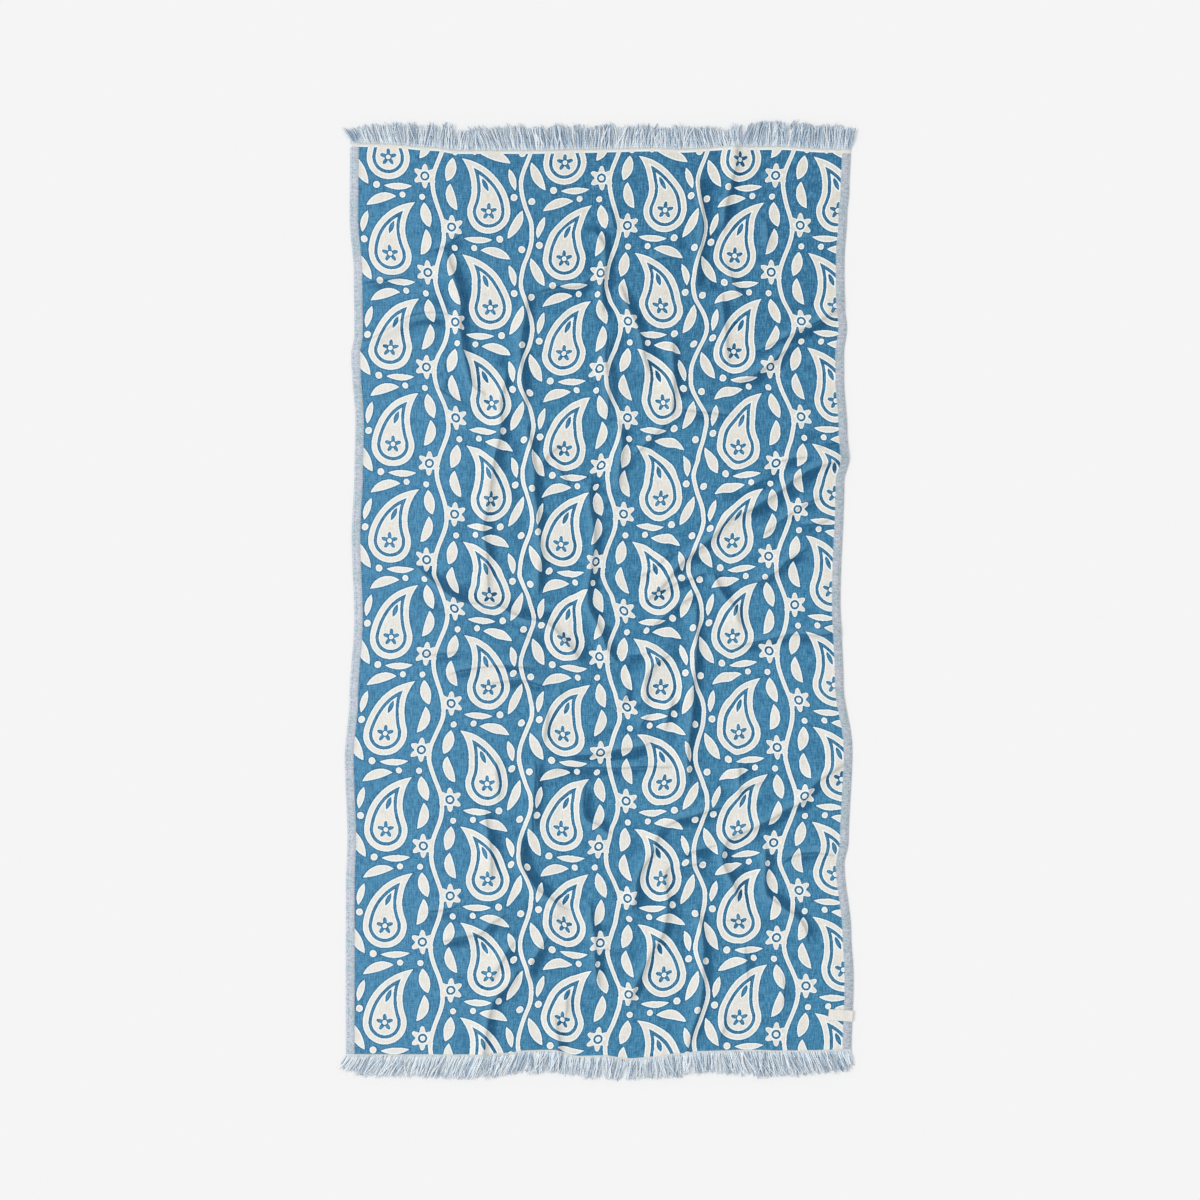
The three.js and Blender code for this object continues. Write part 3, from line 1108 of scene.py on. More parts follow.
@dataclass(frozen=True)
class Twist:
    """The shared effect of yarns plied together, read on a piece whose UV map runs round and along it."""

    plies: float = 2.0
    turn: float = 0.006

    def tree(self) -> NodeTree:
        """Builds the shared node group.

        Returns:
            The group's tree.
        """
        made = GroupBuilder("Plied Twist")
        around, along = made.graph.split(made.takes("Place", "NodeSocketVector"))
        turn = made.takes("Turn Length", default=self.turn)
        phase = (around * self.plies + along / turn) * (2 * math.pi)
        made.gives(Ridge=made.graph.math("SINE", phase) * 0.5 + 0.5)
        return made.tree


@dataclass(frozen=True)
class Cotton:
    """What the cotton finishes set on the shader itself."""

    roughness: float = 0.92
    specular: float = 0.18
    sheen: float = 0.06
    sheen_roughness: float = 0.5


class Dressing:
    """A cotton material that is being made."""

    def __init__(self, name: str, cotton: Cotton, layer: str) -> None:
        """Starts the material.

        Args:
            name: its name.
            cotton: what it sets on the shader.
            layer: the piece's own UV map, which it reads as its place.
        """
        self.made = bpy.data.materials.new(name)
        self.made.use_nodes = True
        self.graph = Graph(self.made.node_tree)
        self.shader = self.graph.fill(
            self.graph.node("BsdfPrincipled"), Roughness=cotton.roughness, Specular_IOR_Level=cotton.specular,
            Sheen_Weight=cotton.sheen, Sheen_Roughness=cotton.sheen_roughness,
        )
        self.graph.fill(self.graph.node("OutputMaterial"), Surface=Value(self.graph, self.shader.outputs[0]))
        self.place = Value(self.graph, self.graph.node("UVMap", uv_map=layer).outputs[0])

    def finished(self, colour: Value, height: Value, depth: float) -> Material:
        """Gives the material its colour and raises its threads.

        Args:
            colour: the colour.
            height: the threads' height, from 0 to 1.
            depth: what a height of 1 is in metres.

        Returns:
            The material.
        """
        bump = self.graph.fill(self.graph.node("Bump"), Strength=1.0, Distance=depth, Height=height)
        self.graph.fill(self.shader, Base_Color=colour, Normal=Value(self.graph, bump.outputs[0]))
        return self.made


class Face(Enum):
    """Which side of the double cloth is seen."""

    FRONT = 1
    REVERSE = 2


@dataclass(frozen=True)
class FiguredCloth:
    """The double cloth: a blue and a cream layer that change places along the figure.

    Args:
        face: which side is seen.
        blue, shade, crest, proud: the blue layer; its deep dye, which is also its painted shade in hollows,
            creases and along the outline; its painted highlight on crests; and where threads stand proud.
        greener, redder: what it is where the heathered dye leans to green or to red.
        lit_left, fresh: what it is at the left side, painted paler as more light falls there, and at the
            upper right corner, painted deeper as less light falls there.
        cream, cream_lit_left, cream_dim_corner, cream_crease_shade: the cream layer likewise, and its painted
        shade in a crease.
        edge: its pale edge, a painted highlight along the figure and where a heading meets the blue layer.
        band, band_fleck, band_grain: the side bands, their paler flecks and how uneven their threads are.
        heading, roots: the strips at the two ends, and the warp ends where they start to show in them.
        crease_from, crease_peak, crease_to: how far to the left of a fold's line its painted crease shade
            lies.
        crease_tall: how tall a fold with full painted crease shade stands, as a share of a full fold.
        crease_shade_blue, crease_shade_cream: how far full painted crease shade darkens each layer.
        outline: width of the line where the layers change places, with painted shade on its blue side and a
            painted highlight on its cream side.
        lit_left_width: how far in from the left side the painted light reaches.
        dim_across: how much the way across counts towards the painted shade at the upper right corner; the
            way along counts fully.
            dim_from, dim_full: the measure from which that shade shows, and at which it is full.
        band_width, upper_heading, lower_heading: width of a side band, and depths of the headings.
        heading_soft: how far to each side a heading's border is blurred.
        rim_width, rim_full: width of a heading's pale edge, a painted highlight, and where in it that is
            palest.
        root_depth, ragged: how far from the end the warp ends start to show, and how unevenly.
        tooth, tooth_depth: pitch of the band's stepped inner edge, and how far its steps go in and out.
        pitch, thread_height: spacing of the threads, and how far they stand up.
        cotton: what the finish sets on the shader.
    """

    face: Face
    blue: Colour = dyed(67, 133, 170)
    shade: Colour = dyed(2, 72, 112)
    crest: Colour = dyed(104, 160, 192)
    proud: Colour = dyed(104, 168, 206)
    greener: Colour = dyed(54, 137, 161)
    redder: Colour = dyed(80, 126, 175)
    lit_left: Colour = dyed(85, 147, 186)
    fresh: Colour = dyed(50, 110, 147)
    cream: Colour = dyed(233, 231, 223)
    cream_lit_left: Colour = dyed(239, 237, 230)
    cream_dim_corner: Colour = dyed(226, 223, 212)
    cream_crease_shade: Colour = dyed(150, 146, 134)
    edge: Colour = dyed(245, 254, 255)
    band: Colour = dyed(186, 206, 217)
    band_fleck: Colour = dyed(204, 212, 226)
    band_grain: float = 0.19
    heading: Colour = dyed(230, 230, 223)
    roots: Colour = dyed(216, 220, 219)
    crease_from: float = 0.0005
    crease_peak: float = 0.0042
    crease_to: float = 0.0088
    crease_tall: float = 0.40
    crease_shade_blue: float = 0.56
    crease_shade_cream: float = 0.30
    outline: float = 0.0028
    lit_left_width: float = 0.50
    dim_across: float = 0.8
    dim_from: float = 1.35
    dim_full: float = 2.45
    band_width: float = 0.0162
    upper_heading: float = 0.0075
    lower_heading: float = 0.0024
    heading_soft: float = 0.0006
    rim_width: float = 0.0030
    rim_full: float = 0.0016
    root_depth: float = 0.0040
    ragged: float = 0.008
    tooth: float = 0.0036
    tooth_depth: float = 0.0006
    pitch: float = 0.0011
    thread_height: float = 0.00035
    cotton: Cotton = Cotton()

    def material(self, lay: Lay, figure: NodeTree, weave: NodeTree) -> Material:
        """Builds the material.

        Args:
            lay: how the cloth lies, for the size of its cut.
            figure: the woven figure's group.
            weave: the weave's group.

        Returns:
            The material.
        """
        made = Dressing(f"figured cloth {self.face.name.lower()}", self.cotton, Cloth.LAYER)
        graph = made.graph
        depth = graph.group(figure, Place=made.place)["Depth"]
        if self.face is Face.REVERSE:
            depth = depth * -1.0
        across, along = graph.split(made.place)
        masks = graph.group(weave, Place=made.place, Thread_Pitch=self.pitch)
        # The masks across and along the cloth lay painted light towards its left side and painted shade
        # towards its upper right corner.
        masks |= {"Across": across, "Freshness": along + across * self.dim_across, "Depth": depth}
        # The folds' relief and creases lay painted shade in hollows, creases and on steep sides, and a
        # painted highlight on crests.
        masks |= {"Relief": graph.read(Cloth.RELIEF), "Crease": self.creased(graph)}
        body = graph.mix(depth > 0.0, self.blue_layer(graph, masks), self.cream_layer(graph, masks))

        to_side = graph.smallest(across, lay.width - across)
        tooth = graph.math("SIGN", graph.math("SINE", along * (2 * math.pi / self.tooth))) * self.tooth_depth
        banded = graph.mix(to_side + tooth < self.band_width, body, self.side_band(graph, masks))
        at_end = graph.largest(self.lower_heading - along, along - (lay.length - self.upper_heading))
        # Painted highlight: a pale edge along each heading's border, where the blue layer lies under it.
        rim = graph.ramp(at_end, self.rim_width, self.rim_full) * (depth < 0.0)
        rimmed = graph.mix(rim, self.heading, self.edge)
        headed = graph.mix(graph.ramp(at_end, -self.heading_soft, self.heading_soft), banded, rimmed)
        to_end = graph.smallest(along, lay.length - along) + masks["Ends"] * self.ragged - self.ragged / 2
        rooted = graph.mix(graph.ramp(to_end, self.root_depth, 0.0), headed, self.roots)
        return made.finished(rooted, masks["Height"], self.thread_height)

    def creased(self, graph: Graph) -> Value:
        """Reads how much painted crease shade the cloth gets: most along a fold's steep side, close below its
        crest.

        Args:
            graph: the material's tree.

        Returns:
            The share of painted crease shade, from 0 to 1.
        """
        standing, beside = graph.read(Cloth.STANDING), graph.read(Cloth.BESIDE)
        inner = graph.ramp(beside, self.crease_from, self.crease_peak)
        outer = graph.ramp(beside, self.crease_to, self.crease_peak)
        return inner * outer * graph.ramp(standing, 0.0, self.crease_tall)

    def light_falloff(self, lit_left: Colour, fresh: Colour) -> tuple[Tint, Tint]:
        """Lists a layer's painted light towards the left side and painted shade towards the upper right
        corner, from its colours there.
        """
        paler = Tint("Across", self.lit_left_width, 0.0, 1.0, lit_left)
        return paler, Tint("Freshness", self.dim_from, self.dim_full, 1.0, fresh)

    def blue_layer(self, graph: Graph, masks: Masks) -> Value:
        """Mixes the blue layer's colour: uneven dye, painted light at the left and painted shade at the upper
        right corner, painted shade in the hollows, creases and steep sides and along the figure's outline,
        and a painted highlight on crests.

        Args:
            graph, masks: the material's tree, and what varies over the cloth, by name.

        Returns:
            The colour.
        """
        grain = weighed(masks, Ends=0.50, Picks=0.32, Mottle=0.18)
        dye = tinted(
            graph, self.blue, masks | {"Grain": grain},
            # Painted light towards the left side and painted shade towards the upper right corner.
            *self.light_falloff(self.lit_left, self.fresh),
            Tint("Mottle", 0.36, 0.64, 0.30, self.greener),
            Tint("Mottle", 0.64, 0.36, 0.30, self.redder),
            Tint("Cloud", 0.50, 0.34, 0.13, self.shade),
            Tint("Grain", 0.50, 0.38, 0.46, self.shade),
            Tint("Grain", 0.49, 0.61, 0.54, self.proud),
            # Painted shade in hollows and on steep sides, and a painted highlight on crests.
            Tint("Relief", 0.48, 0.18, 0.66, self.shade),
            Tint("Relief", 0.54, 0.84, 0.34, self.crest),
        )
        # Painted shade along the steep side of each fold's crease.
        dye = graph.mix(masks["Crease"] * self.crease_shade_blue, dye, self.shade)
        # Painted shade for a groove along the figure's outline, on its blue side.
        return tinted(graph, dye, masks, Tint("Depth", -self.outline, -self.outline * 0.45, 0.46, self.shade))

    def cream_layer(self, graph: Graph, masks: Masks) -> Value:
        """Mixes the cream layer's colour: painted light at the left and painted shade at the upper right
        corner, palest along the figure's outline as a painted highlight, and painted shade in the creases.

        Args:
            graph, masks: the material's tree, and what varies over the cloth, by name.

        Returns:
            The colour.
        """
        grain = weighed(masks, Ends=0.45, Picks=0.25, Cloud=0.10, Mottle=0.20)
        pale = tinted(
            graph, self.cream, masks | {"Grain": grain},
            # Painted light towards the left side and painted shade towards the upper right corner.
            *self.light_falloff(self.cream_lit_left, self.cream_dim_corner),
            Tint("Grain", 0.50, 0.40, 0.08, BLACK),
            Tint("Grain", 0.50, 0.60, 0.36, WHITE),
            # Painted highlight along the figure's outline, on its cream side.
            Tint("Depth", self.outline * 0.95, self.outline * 0.55, 1.0, self.edge),
        )
        # Painted shade along the steep side of each fold's crease.
        return graph.mix(masks["Crease"] * self.crease_shade_cream, pale, self.cream_crease_shade)

    def side_band(self, graph: Graph, masks: Masks) -> Value:
        """Mixes the side bands' flecked colour, deeper on the right as painted shade.

        Args:
            graph, masks: the material's tree, and what varies over the cloth, by name.

        Returns:
            The colour.
        """
        flecked = tinted(
            graph, self.band, masks,
            Tint("Cloud", 0.40, 0.60, 1.0, self.band_fleck),
            # Painted shade that deepens the right side band.
            Tint("Across", 0.30, 0.60, 0.15, BLACK),
        )
        dark, pale = (graph.mix(self.band_grain, flecked, tone) for tone in (BLACK, WHITE))
        grain = weighed(masks, Ends=0.15, Picks=0.40, Mottle=0.45)
        return graph.mix(graph.ramp(grain, 0.40, 0.60), dark, pale)


@dataclass(frozen=True)
class FringeYarn:
    """The plied warp yarns of the fringe, each of its own tone, and of one colour at their root. Their tones
    differ at random, and their darker tones partly stand in for the shade between the yarns: painted shade.
    """

    pale: Colour = dyed(242, 250, 255)
    dark: Colour = dyed(150, 174, 198)
    ply: float = 0.25
    tone_from: float = 0.10
    tone_full: float = 1.15
    root: Colour = dyed(224, 226, 222)
    root_length: float = 0.0075
    root_full: float = 0.001
    root_share: float = 0.8
    turn: float = 0.005
    ply_height: float = 0.0004
    cotton: Cotton = Cotton(sheen=0.10)

    def material(self, twist: NodeTree) -> Material:
        """Builds the material.

        Args:
            twist: the twist's group.

        Returns:
            The material.
        """
        made = Dressing("fringe yarn", self.cotton, Strand.LAYER)
        graph = made.graph
        ridge = graph.group(twist, Place=made.place, Turn_Length=self.turn)["Ridge"]
        # The plies' ridge paints them lighter on their crowns and darker in the grooves: painted highlight
        # and shade.
        share = graph.ramp(graph.read(Strand.TONE) + ridge * self.ply, self.tone_from, self.tone_full)
        _, from_root = graph.split(made.place)
        rooted = graph.ramp(from_root, self.root_length, self.root_full, self.root_share)
        colour = graph.mix(rooted, graph.mix(share, self.dark, self.pale), self.root)
        return made.finished(colour, ridge, self.ply_height)


@dataclass(frozen=True)
class SewingThread:
    """The plied thread that holds the side bands, painted darker along its twist as painted shade of the
    plies.
    """

    pale: Colour = dyed(205, 212, 222)
    dark: Colour = dyed(116, 122, 142)
    ply: float = 0.2
    turn: float = 0.0012
    ply_height: float = 0.0002
    cotton: Cotton = Cotton(roughness=0.7, sheen=0.05)

    def material(self, twist: NodeTree) -> Material:
        """Builds the material.

        Args:
            twist: the twist's group.

        Returns:
            The material.
        """
        made = Dressing("band thread", self.cotton, Strand.LAYER)
        graph = made.graph
        ridge = graph.group(twist, Place=made.place, Turn_Length=self.turn)["Ridge"]
        colour = graph.mix(graph.read(Strand.TONE), self.dark, self.pale)
        # The plies' ridge paints the thread darker along its twist: painted shade.
        return made.finished(graph.mix(ridge * self.ply, colour, BLACK), ridge, self.ply_height)


@dataclass(frozen=True)
class LabelTape:
    """The bare woven tape of the label, a little darker where its threads' noise runs low: painted shade for
    the grooves between its ribs.
    """

    ground: Colour = dyed(237, 235, 227)
    groove: float = 0.94
    rib: float = 0.00055
    rib_height: float = 0.00015
    cotton: Cotton = Cotton(roughness=0.62, specular=0.3, sheen=0.04)

    def material(self, weave: NodeTree) -> Material:
        """Builds the material.

        Args:
            weave: the weave's group.

        Returns:
            The material.
        """
        made = Dressing("label tape", self.cotton, Strand.LAYER)
        graph = made.graph
        threads = graph.group(weave, Place=made.place, Thread_Pitch=self.rib)
        tone = graph.ramp(weighed(threads, Ends=0.5, Picks=0.5), 0.35, 0.65)
        # Painted shade for the grooves between the ribs.
        dark = (*(value * self.groove for value in self.ground[:3]), 1.0)
        return made.finished(graph.mix(tone, dark, self.ground), threads["Height"], self.rib_height)


# ---- The pieces ----


def settled(work: bmesh.types.BMesh, name: str) -> Mesh:
    """Ends the work on a mesh.

    Args:
        work: the mesh as it was worked on.
        name: the finished mesh's name.

    Returns:
        The finished mesh.
    """
    mesh = bpy.data.meshes.new(name)
    work.to_mesh(mesh)
    work.free()
    return mesh


def flat_sheet(name: str, columns: int, rows: int, half: float, level: float = 0.0) -> Mesh:
    """Makes a level square grid round the middle.

    Args:
        name: the mesh's name.
        columns: cells across it.
        rows: cells along it.
        half: half its width.
        level: its height.

    Returns:
        The mesh.
    """
    work, raised = bmesh.new(), Matrix.Translation((0, 0, level))
    bmesh.ops.create_grid(work, x_segments=columns, y_segments=rows, size=half, matrix=raised)
    return settled(work, name)


def coordinates(mesh: Mesh) -> Array:
    """Reads the places of a mesh's vertices, a row for each."""
    return np.array([vertex.co[:] for vertex in mesh.vertices])


def moved(mesh: Mesh, places: Array) -> None:
    """Puts a mesh's vertices in their places."""
    mesh.vertices.foreach_set("co", places.ravel())


def face_corners(mesh: Mesh) -> Array:
    """Reads which vertex is at each corner of a mesh's faces."""
    return np.array([loop.vertex_index for loop in mesh.loops])


def unwrapped(mesh: Mesh, layer: str, at: Array) -> None:
    """Gives a mesh a UV map that has one place for each vertex."""
    mesh.uv_layers.new(name=layer).data.foreach_set("uv", at[face_corners(mesh)].ravel())


def placed(name: str, mesh: Mesh, *materials: Material) -> Object:
    """Puts a finished mesh in the scene, with its materials and smooth faces.

    Args:
        name: the piece's name.
        mesh: its mesh.
        materials: its materials, one for each slot.

    Returns:
        The object.
    """
    mesh.name = name
    for material in materials:
        mesh.materials.append(material)
    mesh.shade_smooth()
    made = bpy.data.objects.new(name, mesh)
    bpy.context.collection.objects.link(made)
    return made


def thickened(piece: Object, thickness: float) -> Modifier:
    """Gives a sheet its thickness, downwards from its face.

    Args:
        piece: the sheet.
        thickness: its thickness.

    Returns:
        The modifier.
    """
    solid = piece.modifiers.new("thickness", "SOLIDIFY")
    solid.thickness = thickness
    solid.offset = -1
    return solid


@dataclass
class Survey:
    """The laid cloth, measured on a fine even grid over its flat cut.

    Args:
        x, y, height: places of the grid's points over the surface.
        window, broad: how many steps to each side count as a point's near and wider surroundings.
        hollow, valley: height over each that counts as a full crest, and depth as a full hollow.
        gentle, steep: slopes up to which the relief reads height alone, and from which it reads lowest.
        dip: how much lower it reads there.
        evened: steps to each side over which the relief is evened out.
    """

    x: Array
    y: Array
    height: Array
    window: int = 5
    hollow: float = 0.0030
    broad: int = 14
    valley: float = 0.0110
    gentle: float = 0.26
    steep: float = 0.74
    dip: float = 0.42
    evened: int = 2

    def relief(self) -> Array:
        """Works out how far each point stands over its surroundings, less on the folds' steep sides; the
        cloth's material paints shade where it is low and a highlight where it is high.

        Returns:
            0 in a full hollow, 0.5 where it is level and 1 on a full crest.
        """
        across = np.gradient(self.height, axis=1) / np.gradient(self.x, axis=1)
        along = np.gradient(self.height, axis=0) / np.gradient(self.y, axis=0)
        steep = np.clip((np.hypot(across, along) - self.gentle) / (self.steep - self.gentle), 0, 1)
        over = (self.height - self.mean(self.height, self.window)) / (2 * self.hollow)
        over += (self.height - self.mean(self.height, self.broad)) / (2 * self.valley)
        return self.mean(np.clip(0.5 + over - self.dip * steep, 0, 1), self.evened)

    @staticmethod
    def mean(values: Array, window: int) -> Array:
        """Takes the mean of each point's surroundings.

        Args:
            values: a value for each point.
            window: how many steps to each side count.

        Returns:
            The means.
        """
        for axis in (0, 1):
            count = values.shape[axis]
            edges = [(window, window) if axis == k else (0, 0) for k in (0, 1)]
            padded = np.pad(values, edges, mode="edge")
            shifts = range(2 * window + 1)
            values = sum(np.take(padded, np.arange(count) + k, axis=axis) for k in shifts) / len(shifts)
        return values

    def arc(self, axis: int) -> Array:
        """Measures how far along the cloth each point is.

        Args:
            axis: 0 for the way along it, 1 for the way across.

        Returns:
            The shares of the whole way.
        """
        laid = np.stack([self.x, self.y, self.height], axis=-1)
        steps = np.linalg.norm(np.diff(laid, axis=axis), axis=-1)
        start = np.zeros_like(np.take(steps, [0], axis=axis))
        way = np.concatenate([start, np.cumsum(steps, axis=axis)], axis=axis)
        return way / np.take(way, [-1], axis=axis)


@dataclass
class Cloth:
    """The sheet of double cloth, with its turned and sewn side bands.

    Args:
        lay, thickness: how it lies, and its thickness.
        columns, rows: cells between the side bands and along it, before those at folds are quartered.
        creased: share of the cells that are quartered.
        budget: triangles that the finished piece may have; its underside is thinned to keep to them.
        measure: step of the fine grid on which it is surveyed.
        band, turned: width of a side band, and how much thicker it is.
        step: how steeply it rises over the cloth beside it.
        rim, rim_share: how far in from its edges it has its full thickness, and its share at them.
        rim_lines: how far in from its edges it has grid lines of their own.
    """

    LAYER = "Cut"
    # The cloth's material paints shade and highlight by these attributes.
    RELIEF = "relief"
    STANDING = "standing"
    BESIDE = "beside"

    lay: Lay
    thickness: float = 0.002
    columns: int = 134
    rows: int = 212
    creased: float = 0.31
    budget: int = 192_000
    measure: float = 0.0025
    band: float = 0.0162
    step: float = 0.0009
    turned: float = 0.0006
    rim: float = 0.0040
    rim_share: float = 0.45
    rim_lines: tuple[float, ...] = (0.0, 0.0008, 0.0022, 0.0040)

    def flat_grid(self) -> Mesh:
        """Makes the flat cut as a grid, closer at the edges and at the bands' inner edges.

        Returns:
            The mesh.
        """
        banded = (*self.rim_lines, self.band * 0.6, self.band - self.step, self.band)
        across = self.lines(self.lay.width / 2, banded, self.columns)
        along = self.lines(self.lay.length / 2, self.rim_lines, self.rows)
        sheet = flat_sheet("cloth", len(across) - 1, len(along) - 1, 1.0)
        shares = (coordinates(sheet)[:, :2] + 1) / 2
        column, row = np.rint(shares * (len(across) - 1, len(along) - 1)).astype(int).T
        moved(sheet, np.stack([across[column], along[row], np.zeros(len(column))], axis=-1))
        return sheet

    @staticmethod
    def lines(half: float, insets: tuple[float, ...], cells: int) -> Array:
        """Works out grid lines: some at set distances from both edges, and even cells between them."""
        near = half - np.array(insets)
        return np.concatenate([-near[:-1], np.linspace(-near[-1], near[-1], cells + 1), near[-2::-1]])

    def fullness(self, x: Array, y: Array) -> Array:
        """Works out how thick the cloth is at places on the flat cut.

        Args:
            x, y: places on the flat cut.

        Returns:
            The shares of its full thickness.
        """
        inside = np.minimum(self.lay.width / 2 - np.abs(x), self.lay.length / 2 - np.abs(y))
        share = np.clip(inside / self.rim, 0, 1)
        return self.rim_share + (1 - self.rim_share) * np.sqrt(share * (2 - share))

    def rise(self, x: Array, y: Array) -> Array:
        """Works out how far the bands and the edges bring the face up or down.

        Args:
            x, y: places on the flat cut.

        Returns:
            How much higher than the full thickness the face stands there.
        """
        from_edge = self.lay.width / 2 - np.abs(x)
        on_band = np.clip((self.band - from_edge) / self.step, 0, 1) * np.clip(from_edge / self.rim, 0, 1)
        return self.turned * on_band - self.thickness * (1 - self.fullness(x, y))

    def top(self, x: Array, y: Array) -> Array:
        """Works out how high the cloth's face is over a place on the surface, bands and edges apart."""
        return self.lay.lift(x, y) + self.thickness

    def survey(self) -> Survey:
        """Measures the laid cloth on a fine even grid.

        Returns:
            The survey.
        """
        sizes = self.lay.width, self.lay.length
        lines = (np.linspace(-size / 2, size / 2, round(size / self.measure) + 1) for size in sizes)
        x, y = self.lay.spread(*np.meshgrid(*lines))
        return Survey(x, y, self.top(x, y))

    def read(self, surveyed: Array, x: Array, y: Array) -> Array:
        """Reads what was surveyed at places on the flat cut.

        Args:
            surveyed: a value for each point of the fine grid.
            x, y: places on the flat cut.

        Returns:
            The values there.
        """
        rows, columns = surveyed.shape
        across = (x / self.lay.width + 0.5) * (columns - 1)
        along = (y / self.lay.length + 0.5) * (rows - 1)
        i = np.clip(along.astype(int), 0, rows - 2)
        j = np.clip(across.astype(int), 0, columns - 2)
        return blended(surveyed.T, j, i, across - j, along - i)

    def quarter_creased(self, sheet: Mesh, survey: Survey, relief: Array) -> None:
        """Quarters the cells of the flat grid that lie at folds.

        Args:
            sheet: the flat grid.
            survey: the survey of the laid cloth.
            relief: its relief.
        """
        work = bmesh.new()
        work.from_mesh(sheet)
        middles = np.array([face.calc_center_median()[:2] for face in work.faces])
        bent = self.read(survey.mean(np.abs(relief - 0.5), survey.window), *middles.T)
        chosen = bent > np.quantile(bent, 1 - self.creased)
        edges = {edge for face, creased in zip(work.faces, chosen) if creased for edge in face.edges}
        bmesh.ops.subdivide_edges(work, edges=list(edges), cuts=1, use_grid_fill=True)
        work.to_mesh(sheet)
        work.free()

    def mesh(self) -> tuple[Mesh, Array]:
        """Makes the face, laid out over the folds, with the flat cut as its UV map.

        Returns:
            The mesh, and the share of the full thickness at each of its vertices.
        """
        survey = self.survey()
        relief = survey.relief()
        sheet = self.flat_grid()
        self.quarter_creased(sheet, survey, relief)
        flat_x, flat_y, _ = coordinates(sheet).T
        x, y = self.lay.spread(flat_x, flat_y)
        moved(sheet, np.stack([x, y, self.top(x, y) + self.rise(flat_x, flat_y)], axis=-1))
        standing, beside = self.lay.tallest(x, y)
        # These attributes drive the material's painted shade in hollows, creases and on steep sides, and its
        # painted highlight on crests.
        kept = {self.RELIEF: self.read(relief, flat_x, flat_y), self.STANDING: standing, self.BESIDE: beside}
        for name, values in kept.items():
            sheet.attributes.new(name, "FLOAT", "POINT").data.foreach_set("value", values)
        cut = [self.read(survey.arc(axis), flat_x, flat_y) for axis in (1, 0)]
        unwrapped(sheet, self.LAYER, np.stack(cut, axis=-1) * (self.lay.width, self.lay.length))
        sheet.update()
        return sheet, self.fullness(flat_x, flat_y)

    def build(self, front: Material, reverse: Material) -> Object:
        """Makes the piece.

        Args:
            front: the finish of its face.
            reverse: the finish of its underside.

        Returns:
            The piece.
        """
        sheet, fullness = self.mesh()
        made = placed("cloth_sheet", sheet, front, reverse)
        full = made.vertex_groups.new(name="full thickness")
        shares = np.round(fullness, 3)
        for share in np.unique(shares):
            full.add(np.flatnonzero(shares == share).tolist(), float(share), "REPLACE")
        underside = made.vertex_groups.new(name="underside")
        solid = thickened(made, self.thickness)
        solid.vertex_group = full.name
        solid.material_offset = 1
        solid.material_offset_rim = 0
        solid.shell_vertex_group = underside.name
        triangles = 2 * (len(sheet.loops) - 2 * len(sheet.polygons))
        thin = made.modifiers.new("thinned underside", "DECIMATE")
        thin.ratio = self.budget / triangles
        thin.vertex_group = underside.name
        LOG.info("face: %d triangles", triangles // 2)
        return made


